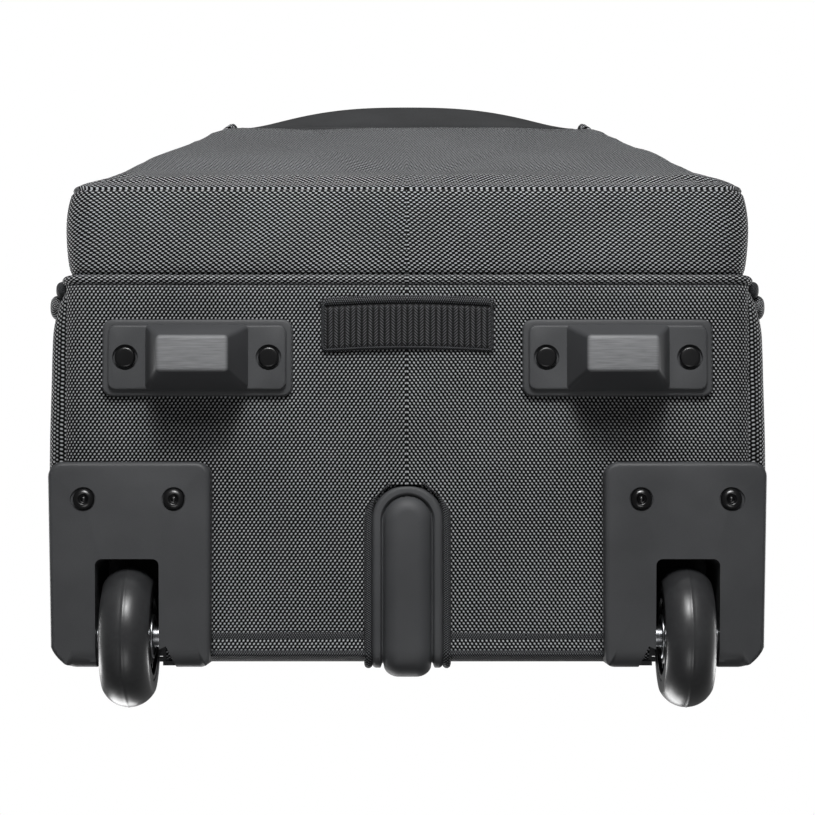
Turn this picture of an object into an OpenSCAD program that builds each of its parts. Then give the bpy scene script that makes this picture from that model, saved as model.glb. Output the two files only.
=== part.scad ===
// Two-wheeled rolling laptop case, upright, with a telescopic pull handle at its back.
// +X is the case's right seen from behind, -Y is the front, +Z is up. The ground is z = 0.

/* [Main compartment] */
// Width across the side panels
body_w = 350; // [315:1:420]
// Height from the bottom panel to the top panel
body_h = 430; // [380:1:520]
// Depth from the back panel to the cover seam
body_d = 188; // [170:1:230]
// Radius of the four long edges
edge_r = 14; // [10:1:18]
// Thickness of the foam-backed fabric panels
panel_t = 4; // [3:0.5:5]
// Height of the bottom panel above the ground
ground_gap = 34; // [32:1:38]

/* [Front cover] */
// Width of the front pocket
pocket_w = 340; // [300:1:346]
// Height by which the pocket is lower than the main compartment
pocket_inset = 8; // [4:1:20]
// Depth of the pocket's gusset
pocket_d = 49; // [35:1:70]
// Thickness of the pocket's gusset fabric
gusset_t = 3; // [2:0.5:4]
// Thickness of the padded panel between pocket and main compartment
cover_t = 5; // [3:0.5:7]
// Diameter of the fabric roll round the cover
roll_d = 5.2; // [4:0.2:6]

/* [Pocket flap] */
// Distance from the gusset to the flap's flat field
flap_rise = 56; // [40:1:75]
// Thickness of the flap
flap_t = 4; // [3:0.5:5]
// Width of the flap's flat field
field_w = 222; // [200:1:250]
// Height of the field's lower edge above the ground
field_low = 176; // [140:1:200]
// Height of the field
field_h = 228; // [180:1:240]
// Width of the smooth panel on the field
smooth_w = 194; // [160:1:200]
// Crown of the smooth panel
smooth_crown = 19; // [12:1:24]
// Diameter of the fabric lips beside the smooth panel
lip_d = 8; // [6:0.5:10]

/* [Wheels] */
// Wheel radius
wheel_r = 35; // [32:0.5:36]
// Tyre width
tyre_w = 24.5; // [22:0.5:26]
// Distance from the side panel to the wheel's middle
wheel_inset = 36.9; // [36:0.1:40]
// Distance from the axle to the back panel's outer face
axle_inset = 12.5; // [8:0.5:16]
// Axle diameter
axle_d = 8; // [6:0.5:8]
// Outer diameter of the wheel bearings
bearing_d = 22; // [20:0.5:22]
// Width of one wheel bearing
bearing_w = 7; // [5:0.5:8]
// Radius of the hub under the tyre
hub_r = 22; // [20:0.5:23]

/* [Wheel housings] */
// Width of a housing
housing_w = 80; // [76:1:90]
// Length of a housing along the bottom
housing_l = 101.4; // [95:0.2:110]
// Depth of a housing below the bottom panel
housing_drop = 15; // [12:0.5:18]
// Height of the corner guard above the bottom panel
corner_h = 46; // [40:1:60]
// Distance by which the housing stands out past the panels
housing_proud = 2.4; // [2:0.1:4]
// Wall of the housing moulding
housing_wall = 3; // [2.5:0.25:4]
// Width of the wheel well
well_w = 31.4; // [29:0.2:32]
// Gap between wheel and well, to the front and above
well_gap = 3.6; // [3:0.2:5]
// Spacing of the two screws
screw_pitch = 44.4; // [42:0.2:48]
// Distance from the housing's front edge to its screws
screw_back = 18.4; // [14:0.2:24]
// Diameter of the screw heads
screw_head_d = 10.6; // [8:0.2:12]

/* [Feet] */
// Length of a foot's plate
foot_l = 95; // [85:1:105]
// Width of a foot's plate
foot_w = 38.5; // [34:0.5:42]
// Thickness of the plate
foot_plate_t = 5.5; // [4:0.5:7]
// Distance from the side panel to the foot's middle
foot_inset = 70; // [60:1:80]
// Distance from the cover seam to the foot's middle
foot_back = 36.7; // [30:0.5:45]
// Spacing of the foot's rivets
rivet_pitch = 71.5; // [66:0.5:76]
// Diameter of the rivet heads
rivet_head_d = 10.3; // [9:0.1:11]

/* [Skid guard] */
// Width of the raised ridge
ridge_w = 24; // [20:1:30]
// Width of the guard's flange
guard_w = 36; // [34:1:44]
// Length of the guard along the bottom
guard_l = 84; // [70:1:100]
// Height of the guard up the back, above the bottom panel
guard_h = 96; // [60:1:130]
// Height of the ridge
ridge_t = 8; // [6:0.5:10]
// Width of the binding round the guard
welt_w = 2.6; // [2:0.2:4]

/* [Grab strap] */
// Length of the strap across the case
strap_l = 88.6; // [70:1:110]
// Width of the strap and its binding
strap_w = 28; // [24:1:36]
// Distance from the cover seam to the strap's middle
strap_back = 21; // [18:1:26]

/* [Pull handle] */
// Distance between the two tube columns
tube_pitch = 130; // [110:1:160]
// Width of an outer tube
tube_w = 24; // [20:0.5:26]
// Depth of an outer tube
tube_dp = 13; // [12:0.5:15]
// Wall of every tube
tube_wall = 1.2; // [1:0.1:1.4]
// Gap between one tube and the next, on each side
tube_gap = 0.3; // [0.2:0.05:0.4]
// Travel of each stage
stage_travel = 270; // [200:5:300]
// Length of the grip
grip_l = 160; // [150:1:190]
// Depth of the grip
grip_dp = 24; // [22:1:28]
// Height of the grip
grip_h = 22; // [18:1:26]
// Travel of the release button
button_travel = 4; // [3:0.5:5]

/* [Carry handle] */
// Length of the carry handle
carry_l = 150; // [130:1:180]
// Reach of the carry handle from its pivots
carry_reach = 48; // [42:1:60]
// Diameter of the carry handle's padded bar
carry_d = 14; // [12:0.5:16]
// Distance from the back panel to the carry handle's pivots
carry_inset = 62; // [50:1:75]

/* [Laptop sleeve] */
// Width of the laptop space
laptop_w = 296; // [260:1:300]
// Depth of the laptop space
laptop_d = 34; // [26:1:40]
// Height of the sleeve
sleeve_h = 290; // [240:1:310]
// Thickness of the sleeve's padding
sleeve_t = 6; // [4:0.5:8]

/* [Zips] */
// Width of the zip band
zip_w = 3; // [2.6:0.1:4]
// Length of a slider
slider_l = 12; // [10:0.5:14]
// Travel of a slider along the top
slider_travel = 100; // [60:5:110]
// Length of a puller
puller_l = 26; // [20:1:32]
// Diameter of a puller's pin
puller_pin_d = 1.6; // [1.4:0.1:2]

/* [Clearances] */
// Gap between parts of one assembly
fit_gap = 0.2; // [0.1:0.05:0.3]
// Gap round a turning pin, on the radius
pin_gap = 0.05; // [0.03:0.01:0.08]
// Gap between parts that move past each other
move_gap = 0.4; // [0.3:0.05:0.6]

/* [Hidden] */
$fn = 48;

fabric = "#26272a";
soft_plastic = "#3a3b3e";
hard_plastic = "#1c1d1f";
metal = "#b9bcc0";
lining = "#6d7076";

// Levels and faces. The origin is under the middle of the whole case.
wheel_out = wheel_r - axle_inset;
y_back = (body_d + pocket_d + flap_rise + smooth_crown - wheel_out) / 2;
y_seam = y_back - body_d;
y_pocket = y_seam - pocket_d;
y_field = y_pocket - flap_rise;
z_low = ground_gap;
z_high = ground_gap + body_h;
z_mid = (z_low + z_high) / 2;
half_w = body_w / 2;
pocket_h = body_h - pocket_inset;
z_pocket = z_mid - pocket_h / 2;
z_pocket_top = z_mid + pocket_h / 2;
seam_in = 3;
piping_d = 3.4;
hoop_d = 4;
hoop_in = panel_t + hoop_d / 2 + fit_gap;
garage_l = 18;
garage_w = 9;
garage_t = 3.2;
garage_z = z_low + 26;

tray_t = 2.5;
tray_rim = 9;
z_tray = z_low + panel_t + tray_t;
tray_x = half_w - edge_r;
tray_y0 = y_seam + 8;
boss_d = 10;

wheel_x = half_w - wheel_inset;
axle_y = y_back - axle_inset;
housing_x1 = half_w + housing_proud;
housing_x0 = housing_x1 - housing_w;
housing_y1 = y_back + housing_proud;
housing_y0 = housing_y1 - housing_l;
housing_z0 = z_low - housing_drop;
housing_r = 6;
housing_mid = (housing_x0 + housing_x1) / 2;
well_y0 = axle_y - wheel_r - well_gap;
well_z1 = 2 * wheel_r + well_gap;
corner_z1 = z_low + corner_h;
axle_half = well_w / 2 + housing_wall;
hub_w = tyre_w - 0.5;
hub_web_t = 3;
web_hole_d = 3.8;
tyre_crown_r = 14;
screw_y = housing_y0 + screw_back;
screw_d = 4;
screw_len = housing_drop + panel_t + tray_t + 5;

foot_x = half_w - foot_inset;
foot_y = y_seam + foot_back;
foot_z = z_low - foot_plate_t;
foot_rim_t = 3;
block_l = 35;
block_w = 18;
block_base_l = 52;
block_base_w = 33;
rivet_d = 5;
rivet_len = panel_t + tray_t + foot_plate_t;

guard_y0 = y_back - guard_l - 4;
flange_t = 3;
guard_rim = 7;
corner_bend = 12;
strap_y = y_seam + strap_back;

tube_x = tube_pitch / 2;
tube_y = y_back - panel_t - 1 - tube_dp / 2;
mid_w = tube_w - 2 * (tube_wall + tube_gap);
mid_dp = tube_dp - 2 * (tube_wall + tube_gap);
inner_w = mid_w - 2 * (tube_wall + tube_gap);
inner_dp = mid_dp - 2 * (tube_wall + tube_gap);
socket_h = 22;
tube_low = z_tray + 4;
dock_t = 5;
z_dock = z_high + dock_t;
board_t = 2;
board_y0 = tube_y - tube_dp / 2 - 1 - board_t;
board_half = tray_x - tray_t - fit_gap;
dock_l = grip_l + 24;
grip_low = z_dock + move_gap;
grip_seam = 9;
grip_r = 8;
rod_d = 2.6;
push_bar_t = 3;
push_bar_w = 8;
rod_bar_z = grip_low + grip_seam - 1.2 + button_travel;
button_l = 34;
button_w = 12;
button_r = 5;

sleeve_z0 = well_z1 + housing_wall + 6;
sleeve_y0 = board_y0 - laptop_d - sleeve_t;
sleeve_wall = 3;
carry_y = y_back - carry_inset;
carry_z = z_high + 8;
carry_pin_d = 5;
carry_leg = carry_l / 2 - 4;
carry_leg_w = 12.8;
cheek_t = 4;
cheek_x = 9;

y_field_top = y_field - smooth_crown;
z_field_mid = field_low + field_h / 2;
smooth_h = field_h - 8;
crown_rx = (pow(smooth_w / 2, 2) + pow(smooth_crown, 2)) / (2 * smooth_crown);
crown_rz = (pow(smooth_h / 2, 2) + pow(smooth_crown, 2)) / (2 * smooth_crown);
lip_x = smooth_w / 2 + lip_d / 2 + 1;
pocket_zip_t = 2.4;
y_flap = y_pocket - pocket_zip_t - move_gap;

slider_w = 9;
slider_h = 3.6;
ear_t = 1.2;
ear_h = 3.4;
ear_y = 3.4;
slider_start = -2;
main_zip_y = y_seam + zip_w / 2;
pocket_zip_y = y_pocket - pocket_zip_t / 2;
main_zip_z = z_high;
pocket_zip_z = z_pocket_top;

// ---- helpers ----

// A box from its lowest to its highest corner.
module block(low, high) {
    translate(low) cube(high - low);
}

// A rectangle with rounded corners, centred.
module rounded(w, h, r) {
    square([w - 2 * r, h], center = true);
    square([w, h - 2 * r], center = true);
    for (sx = [-1, 1], sy = [-1, 1]) {
        translate([sx * (w / 2 - r), sy * (h / 2 - r)]) circle(r);
    }
}

// Draws an outline of X and Z as a plate from y0 to y1.
module plate_y(y0, y1) {
    translate([0, y1, 0]) rotate([90, 0, 0]) linear_extrude(y1 - y0) children();
}

// Draws an outline of Y and Z as a plate from x0 to x1.
module plate_x(x0, x1) {
    translate([x0, 0, 0]) rotate([90, 0, 90]) linear_extrude(x1 - x0) children();
}

// A case outline, w wide and h high, centred at the case's mid height.
module outline(w, h, r) {
    translate([0, z_mid]) rounded(w, h, r);
}

// A wall of thickness t inside a case outline, from y0 to y1.
module wall_ring(w, h, r, t, y0, y1) {
    plate_y(y0, y1) difference() {
        outline(w, h, r);
        outline(w - 2 * t, h - 2 * t, r - t);
    }
}

// A round bar of diameter d along a case outline that its middle follows.
module bar_loop(w, h, r, d, y) {
    for (s = [-1, 1]) {
        translate([s * w / 2, y, z_mid]) cylinder(d = d, h = h - 2 * r, center = true);
        translate([0, y, z_mid + s * h / 2]) rotate([0, 90, 0])
            cylinder(d = d, h = w - 2 * r, center = true);
    }
    for (sx = [0, 1], sz = [0, 1]) {
        translate([0, y, z_mid]) mirror([sx, 0, 0]) mirror([0, 0, sz]) translate([w / 2 - r, 0, h / 2 - r])
            rotate([90, 0, 0]) rotate_extrude(angle = 90) translate([r, 0]) circle(d = d);
    }
}

module both_sides() {
    children();
    mirror([1, 0, 0]) children();
}

module rod_x(x0, x1, y, z, d) {
    translate([x0, y, z]) rotate([0, 90, 0]) cylinder(d = d, h = x1 - x0);
}

// Space that one wheel well takes out of panels and tray, with a gap round it.
module well_space(gap) {
    block(
        [wheel_x - well_w / 2 - housing_wall - gap, well_y0 - housing_wall - gap, housing_z0 - 1],
        [wheel_x + well_w / 2 + housing_wall + gap, y_back + housing_wall + 5, well_z1 + housing_wall + gap]
    );
}

module screw_places() {
    both_sides() for (s = [-1, 1]) {
        translate([housing_mid + s * screw_pitch / 2, screw_y, 0]) children();
    }
}

module rivet_places() {
    both_sides() for (s = [-1, 1]) translate([foot_x + s * rivet_pitch / 2, foot_y, 0]) children();
}

// ---- fabric shell of the main compartment ----

module shell_ring() {
    wall_ring(body_w, body_h, edge_r, panel_t, y_seam + zip_w, y_back - panel_t);
}

// The zone of the shell that belongs to the bottom panel.
module bottom_zone() {
    block([-half_w + seam_in, y_seam - 1, z_low - 1], [half_w - seam_in, y_back + 1, z_low + edge_r]);
}

module bottom_panel() color(fabric) difference() {
    intersection() {
        wall_ring(body_w, body_h, edge_r, panel_t, y_seam, y_back - panel_t);
        bottom_zone();
    }
    both_sides() well_space(fit_gap);
    screw_places() translate([0, 0, z_low - 1]) cylinder(d = screw_d + 2 * fit_gap, h = panel_t + 2);
    rivet_places() translate([0, 0, z_low - 1]) cylinder(d = rivet_d + 2 * fit_gap, h = panel_t + 2);
}

module side_panel_right() color(fabric) difference() {
    intersection() {
        shell_ring();
        block([0, y_seam - 1, z_low - 1], [half_w + 1, y_back + 1, z_high - edge_r]);
    }
    bottom_zone();
    well_space(fit_gap);
}

module side_panel_left() mirror([1, 0, 0]) side_panel_right();

module top_panel() color(fabric) difference() {
    intersection() {
        shell_ring();
        block([-half_w - 1, y_seam - 1, z_high - edge_r], [half_w + 1, y_back + 1, z_high + 1]);
    }
    both_sides() tube_space(z_high - panel_t - 1, z_high + 1);
}

module back_panel() color(fabric) difference() {
    plate_y(y_back - panel_t, y_back) outline(body_w, body_h, edge_r);
    both_sides() well_space(fit_gap);
}

module base_tray() color(hard_plastic) difference() {
    union() {
        block([-tray_x, tray_y0, z_low + panel_t], [tray_x, y_back - panel_t - fit_gap, z_tray]);
        difference() {
            block(
                [-tray_x, tray_y0, z_low + panel_t],
                [tray_x, y_back - panel_t - fit_gap, z_tray + tray_rim]
            );
            block([-tray_x + tray_t, tray_y0 + tray_t, z_low], [tray_x - tray_t, y_back + 1, z_high]);
        }
        screw_places() translate([0, 0, z_tray]) cylinder(d = boss_d, h = 6);
    }
    both_sides() well_space(fit_gap);
    screw_places() translate([0, 0, z_low]) cylinder(d = screw_d + 2 * pin_gap, h = 30);
    rivet_places() translate([0, 0, z_low]) cylinder(d = rivet_d + 2 * pin_gap, h = 30);
}

module frame_hoop() color(metal)
    bar_loop(
        body_w - 2 * hoop_in, body_h - 2 * hoop_in, edge_r - panel_t, hoop_d,
        y_seam + zip_w + hoop_d / 2
    );

module rear_piping() color(fabric) difference() {
    bar_loop(body_w + piping_d, body_h + piping_d, edge_r + piping_d / 2, piping_d, y_back - panel_t);
    both_sides() block(
        [housing_x0 - fit_gap, y_back - 20, z_low - 10],
        [housing_x1 + 10, y_back + 10, corner_z1 + fit_gap]
    );
    block([-guard_w, y_back - 20, z_low - 10], [guard_w, y_back + 10, z_low + 1]);
    block([-dock_l / 2 - fit_gap, y_back - 20, z_high - 1], [dock_l / 2 + fit_gap, y_back + 10, z_high + 10]);
}

// Band of zip teeth along the rim of the case, round three sides.
module main_zip() color(hard_plastic) difference() {
    wall_ring(body_w - 4, body_h - 4, edge_r - 2, panel_t - 2, y_seam, y_seam + zip_w);
    bottom_zone();
}

module zip_garages() color(fabric) both_sides()
    block(
        [half_w, y_seam + 2, garage_z],
        [half_w + garage_t, y_seam + 2 + garage_w, garage_z + garage_l]
    );

// ---- wheel housings ----

module housing() difference() {
    union() {
        // cup under the bottom panel
        difference() {
            translate([housing_mid, (housing_y0 + housing_y1) / 2, housing_z0])
                linear_extrude(housing_drop) rounded(housing_w, housing_l, housing_r);
            block(
                [housing_x0 + housing_wall, housing_y0 + housing_wall, housing_z0 + housing_wall],
                [housing_x1 - housing_wall, housing_y1 - housing_wall, z_low + 1]
            );
        }
        // walls of the wheel well
        block(
            [wheel_x - well_w / 2 - housing_wall, well_y0 - housing_wall, housing_z0],
            [wheel_x + well_w / 2 + housing_wall, y_back, well_z1 + housing_wall]
        );
        // guard round the corner of the case
        block([housing_x0, y_back + fit_gap, z_low - 1], [housing_x1, housing_y1, corner_z1]);
        block([half_w + fit_gap, well_y0, z_low - 1], [housing_x1, housing_y1, corner_z1]);
        // bosses for the screws
        for (s = [-1, 1]) translate([housing_mid + s * screw_pitch / 2, screw_y, housing_z0])
            cylinder(d = boss_d + 1, h = housing_drop);
    }
    block(
        [wheel_x - well_w / 2, well_y0, housing_z0 - 1],
        [wheel_x + well_w / 2, housing_y1 + 1, well_z1]
    );
    rod_x(wheel_x - axle_half - 1, wheel_x + axle_half + 1, axle_y, wheel_r, axle_d + 2 * pin_gap);
    for (s = [-1, 1]) translate([housing_mid + s * screw_pitch / 2, screw_y, housing_z0 - 1])
        cylinder(d = screw_d + 2 * fit_gap, h = housing_drop + 2);
}

module wheel_housing_right() color(soft_plastic) housing();
module wheel_housing_left() color(soft_plastic) mirror([1, 0, 0]) housing();

module housing_screws() color(hard_plastic) screw_places() {
    translate([0, 0, housing_z0 - 0.01]) difference() {
        intersection() {
            translate([0, 0, 5.2]) sphere(r = 7.8);
            translate([0, 0, -5]) cylinder(d = screw_head_d, h = 5);
        }
        translate([0, 0, -6]) cylinder(d = 4, h = 4.6, $fn = 6);
    }
    translate([0, 0, housing_z0 - 0.5]) cylinder(d = screw_d, h = screw_len);
}

// ---- wheels ----

// Turns a solid of revolution about Z onto the wheel's axis.
module on_axle() {
    translate([wheel_x, axle_y, wheel_r]) rotate([0, 90, 0]) children();
}

module tyre() on_axle() rotate_extrude($fn = 96) intersection() {
    translate([wheel_r - tyre_crown_r, 0]) circle(tyre_crown_r);
    translate([hub_r, -tyre_w / 2]) square([wheel_r, tyre_w]);
}

module hub() on_axle() difference() {
    rotate_extrude($fn = 96) union() {
        translate([hub_r - 3, -hub_w / 2]) square([3 - pin_gap, hub_w]);
        translate([bearing_d / 2 - 1.5, -hub_web_t / 2]) square([hub_r - bearing_d / 2 - 0.5, hub_web_t]);
        translate([bearing_d / 2 + pin_gap, -hub_w / 2]) square([2.2, hub_w]);
        translate([bearing_d / 2 - 1.5, -hub_w / 2 + bearing_w + pin_gap])
            square([2, hub_w - 2 * bearing_w - 2 * pin_gap]);
    }
    for (a = [0 : 60 : 300]) rotate(a) translate([(bearing_d / 2 + hub_r) / 2 - 0.4, 0, 0])
        cylinder(d = web_hole_d, h = 8, center = true);
}

module bearings() on_axle() for (s = [-1, 1])
    translate([0, 0, s * (hub_w - bearing_w) / 2]) difference() {
        cylinder(d = bearing_d, h = bearing_w, center = true);
        cylinder(d = axle_d + 2 * pin_gap, h = bearing_w + 1, center = true);
        for (e = [-1, 1]) translate([0, 0, e * bearing_w / 2]) difference() {
            cylinder(d = bearing_d - 4, h = 1, center = true);
            cylinder(d = axle_d + 4, h = 2, center = true);
        }
    }

module tyre_right() color(hard_plastic) tyre();
module tyre_left() color(hard_plastic) mirror([1, 0, 0]) tyre();
module hub_right() color(soft_plastic) hub();
module hub_left() color(soft_plastic) mirror([1, 0, 0]) hub();
module bearings_right() color(metal) bearings();
module bearings_left() color(metal) mirror([1, 0, 0]) bearings();

module axles() color(metal) both_sides()
    rod_x(wheel_x - axle_half, wheel_x + axle_half, axle_y, wheel_r, axle_d);

module axle_spacers() color(metal) both_sides() on_axle() for (s = [0, 1]) mirror([0, 0, s])
    translate([0, 0, hub_w / 2 + pin_gap]) difference() {
        cylinder(d = axle_d + 2.4, h = (well_w - hub_w) / 2 - 2 * pin_gap);
        translate([0, 0, -1]) cylinder(d = axle_d + 2 * pin_gap, h = well_w);
    }

// ---- feet, skid guard and grab strap ----

module foot() difference() {
    union() {
        translate([foot_x, foot_y, z_low - foot_rim_t]) linear_extrude(foot_rim_t) rounded(foot_l, foot_w, 5);
        translate([foot_x, foot_y, foot_z])
            linear_extrude(foot_plate_t) rounded(foot_l - 2 * foot_rim_t, foot_w - 2 * foot_rim_t, 4);
        translate([foot_x, foot_y, 0]) hull() {
            translate([-block_l / 2, -block_w / 2, 0]) cube([block_l, block_w, 0.5]);
            translate([-block_base_l / 2, -block_base_w / 2, foot_z]) cube([block_base_l, block_base_w, 1]);
        }
    }
    for (s = [-1, 1]) translate([foot_x + s * rivet_pitch / 2, foot_y, foot_z - 1]) {
        cylinder(d = rivet_head_d + 1.6, h = 3);
        cylinder(d = rivet_d + 2 * fit_gap, h = 20);
    }
}

module foot_right() color(soft_plastic) foot();
module foot_left() color(soft_plastic) mirror([1, 0, 0]) foot();

module foot_rivets() color(hard_plastic) rivet_places() {
    translate([0, 0, foot_z]) intersection() {
        translate([0, 0, 10]) sphere(r = 10.6);
        translate([0, 0, -1]) cylinder(d = rivet_head_d, h = 3);
    }
    translate([0, 0, foot_z + 1]) cylinder(d = rivet_d, h = rivet_len);
}

// An angle strip round the bottom back edge, t thick, with a rounded outer corner.
module angle_strip(half, t, front, top) {
    plate_x(-half, half) difference() {
        union() {
            translate([front, z_low - t]) square([y_back + t - front - corner_bend, t]);
            translate([y_back, z_low - t + corner_bend]) square([t, top - z_low + t - corner_bend]);
            translate([y_back + t - corner_bend, z_low - t + corner_bend]) circle(corner_bend);
        }
        translate([front - 1, z_low]) square([y_back - front + 1, top]);
    }
}

module skid_guard() color(soft_plastic) {
    angle_strip(ridge_w / 2, ridge_t, guard_y0 + guard_rim, z_low + guard_h - guard_rim);
    angle_strip(guard_w / 2, flange_t, guard_y0, z_low + guard_h);
}

module skid_welt() color(hard_plastic) difference() {
    angle_strip(guard_w / 2 + fit_gap + welt_w, flange_t + 1, guard_y0 - welt_w, z_low + guard_h + welt_w);
    block(
        [-guard_w / 2 - fit_gap, guard_y0 - fit_gap, -5],
        [guard_w / 2 + fit_gap, y_back + 20, z_low + guard_h + fit_gap]
    );
}

module grab_strap() color(fabric)
    translate([0, strap_y + 1, z_low - 2.6])
        linear_extrude(2.5) square([strap_l - 6, strap_w - 8], center = true);

module grab_strap_binding() color(hard_plastic)
    translate([0, strap_y, z_low - 1.8]) linear_extrude(1.7) difference() {
        square([strap_l, strap_w], center = true);
        translate([0, 1]) square([strap_l - 5.6, strap_w - 7.6], center = true);
    }

// ---- pull handle ----

module tube_space(z0, z1) {
    translate([tube_x, tube_y, z0])
        linear_extrude(z1 - z0) rounded(tube_w + 2 * fit_gap, tube_dp + 2 * fit_gap, 3);
}

// A rectangular tube with rounded edges, centred on its column.
module tube(w, dp, z0, z1) {
    translate([tube_x, tube_y, z0]) linear_extrude(z1 - z0) difference() {
        rounded(w, dp, 2.4);
        rounded(w - 2 * tube_wall, dp - 2 * tube_wall, 1.2);
    }
}

module outer_tubes() color(metal) both_sides() tube(tube_w, tube_dp, tube_low, z_high);

module tube_sockets() color(hard_plastic) both_sides() difference() {
    translate([tube_x, tube_y, z_tray]) linear_extrude(socket_h) rounded(tube_w + 8, tube_dp + 1.6, 1);
    tube_space(tube_low - fit_gap, z_high);
}

module mid_tubes() color(metal) both_sides() tube(mid_w, mid_dp, tube_low + 8, z_dock + move_gap / 2);

module inner_tubes() color(metal) both_sides()
    tube(inner_w, inner_dp, tube_low + 16, grip_low + grip_seam - 2);

module handle_dock() color(hard_plastic) difference() {
    translate([0, tube_y, z_high]) linear_extrude(dock_t) rounded(dock_l, grip_dp + 8, 8);
    both_sides() translate([tube_x, tube_y, z_high - 1]) linear_extrude(dock_t + 2)
        rounded(mid_w + 2 * tube_gap, mid_dp + 2 * tube_gap, 2.4 + tube_gap);
}

module grip_base() color(hard_plastic) difference() {
    translate([0, tube_y, grip_low]) linear_extrude(grip_seam) rounded(grip_l, grip_dp, grip_r);
    both_sides() translate([tube_x, tube_y, grip_low - 1]) linear_extrude(grip_seam - 0.6)
        rounded(inner_w + 2 * fit_gap, inner_dp + 2 * fit_gap, 1.2);
    both_sides() translate([tube_x, tube_y, 0]) cylinder(d = rod_d + 2 * move_gap, h = z_high * 2);
    push_bar_space();
}

module push_bar_space() {
    block(
        [-tube_x - 5, tube_y - push_bar_w / 2 - 0.5, grip_low + grip_seam - 1.6],
        [tube_x + 5, tube_y + push_bar_w / 2 + 0.5, grip_low + grip_h - 3]
    );
}

module grip_shell() color(hard_plastic) difference() {
    translate([0, tube_y, grip_low + grip_seam])
        linear_extrude(grip_h - grip_seam) rounded(grip_l, grip_dp, grip_r);
    push_bar_space();
    translate([0, tube_y, rod_bar_z + push_bar_t - button_travel - move_gap]) linear_extrude(grip_h)
        rounded(button_l + 2 * move_gap, button_w + 2 * move_gap, button_r + move_gap);
}

module release_button() color(soft_plastic) translate([0, tube_y, rod_bar_z + push_bar_t])
    linear_extrude(grip_low + grip_h + 1.2 - rod_bar_z - push_bar_t) rounded(button_l, button_w, button_r);

module push_rods() color(metal) {
    block(
        [-tube_x - 4, tube_y - push_bar_w / 2, rod_bar_z],
        [tube_x + 4, tube_y + push_bar_w / 2, rod_bar_z + push_bar_t]
    );
    both_sides() translate([tube_x, tube_y, tube_low + 30])
        cylinder(d = rod_d, h = rod_bar_z - tube_low - 30);
}

// ---- carry handle ----

module handle_anchors() color(hard_plastic) both_sides() difference() {
    union() {
        block([carry_leg - 14, carry_y - 9, z_high], [carry_leg + 14, carry_y + 9, z_high + 2]);
        for (s = [-1, 1]) {
            block(
                [carry_leg + s * cheek_x - cheek_t / 2, carry_y - 5, z_high],
                [carry_leg + s * cheek_x + cheek_t / 2, carry_y + 5, carry_z]
            );
            translate([carry_leg + s * cheek_x, 0, 0]) rod_x(-cheek_t / 2, cheek_t / 2, carry_y, carry_z, 10);
        }
    }
    rod_x(carry_leg - 20, carry_leg + 20, carry_y, carry_z, carry_pin_d + 2 * pin_gap);
}

module carry_handle() color(fabric) {
    both_sides() {
        rod_x(carry_leg - 13, carry_leg + 13, carry_y, carry_z, carry_pin_d);
        rod_x(carry_leg - carry_leg_w / 2, carry_leg + carry_leg_w / 2, carry_y, carry_z, 9);
        block(
            [carry_leg - carry_leg_w / 2, carry_y - carry_reach, carry_z - 2.2],
            [carry_leg + carry_leg_w / 2, carry_y, carry_z + 2.2]
        );
    }
    rod_x(
        -carry_leg - carry_leg_w / 2, carry_leg + carry_leg_w / 2,
        carry_y - carry_reach, carry_z + 0.5, carry_d
    );
}

// ---- front cover ----

module gusset_ring() {
    wall_ring(pocket_w, pocket_h, edge_r, gusset_t, y_pocket, y_seam - cover_t - 1);
}

module gusset_end(z0, z1) {
    intersection() {
        gusset_ring();
        block([-half_w, y_pocket - 1, z0], [half_w, y_seam, z1]);
    }
}

module gusset_side() {
    intersection() {
        gusset_ring();
        block([0, y_pocket - 1, z_pocket + edge_r], [half_w, y_seam, z_pocket_top - edge_r]);
    }
}

module gusset_bottom() color(fabric) gusset_end(z_pocket - 1, z_pocket + edge_r);
module gusset_top() color(fabric) gusset_end(z_pocket_top - edge_r, z_pocket_top + 1);
module gusset_right() color(fabric) gusset_side();
module gusset_left() color(fabric) mirror([1, 0, 0]) gusset_side();

module cover_panel() color(lining)
    plate_y(y_seam - cover_t - 1, y_seam - 1)
        outline(body_w - 2 * roll_d, body_h - 2 * roll_d, edge_r - roll_d);

module cover_roll() color(fabric)
    bar_loop(
        body_w - roll_d, body_h - roll_d, edge_r - roll_d / 2, roll_d, y_seam - move_gap - roll_d / 2
    );

module organiser_pocket() color(lining)
    block([-110, y_seam - cover_t - 3, z_mid - 120], [110, y_seam - cover_t - 1, z_mid + 60]);

module pocket_zip() color(hard_plastic) difference() {
    wall_ring(pocket_w - 3, pocket_h - 3, edge_r - 1.5, 5, y_pocket - pocket_zip_t, y_pocket);
    block([-half_w, y_pocket - 5, z_pocket - 1], [half_w, y_pocket + 1, z_pocket + edge_r]);
}

// ---- pocket flap ----

// The flap's outer form, shrunk by t on every side.
module flap_form(t) {
    hull() {
        plate_y(y_flap - 0.5, y_flap) outline(pocket_w - 2 * t, pocket_h - 2 * t, edge_r - t, $fn = 32);
        plate_y(y_field + t, y_field + t + 0.5) translate([0, z_field_mid])
            rounded(field_w - 2 * t, field_h - 2 * t, 26 - t, $fn = 32);
    }
}

module front_panel() color(fabric) difference() {
    flap_form(0);
    translate([0, 1, 0]) flap_form(flap_t);
}

module smooth_panel() color(soft_plastic) intersection() {
    translate([0, y_field_top + crown_rx, z_field_mid])
        cylinder(r = crown_rx, h = smooth_h, center = true, $fn = 360);
    level_crown();
    block(
        [-smooth_w / 2, y_field_top, z_field_mid - smooth_h / 2],
        [smooth_w / 2, y_field, z_field_mid + smooth_h / 2]
    );
}

// The crown's curve from the field's lower edge to its upper edge.
module level_crown() {
    translate([0, y_field_top + crown_rz, z_field_mid]) rotate([0, 90, 0])
        cylinder(r = crown_rz, h = smooth_w, center = true, $fn = 360);
}

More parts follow.
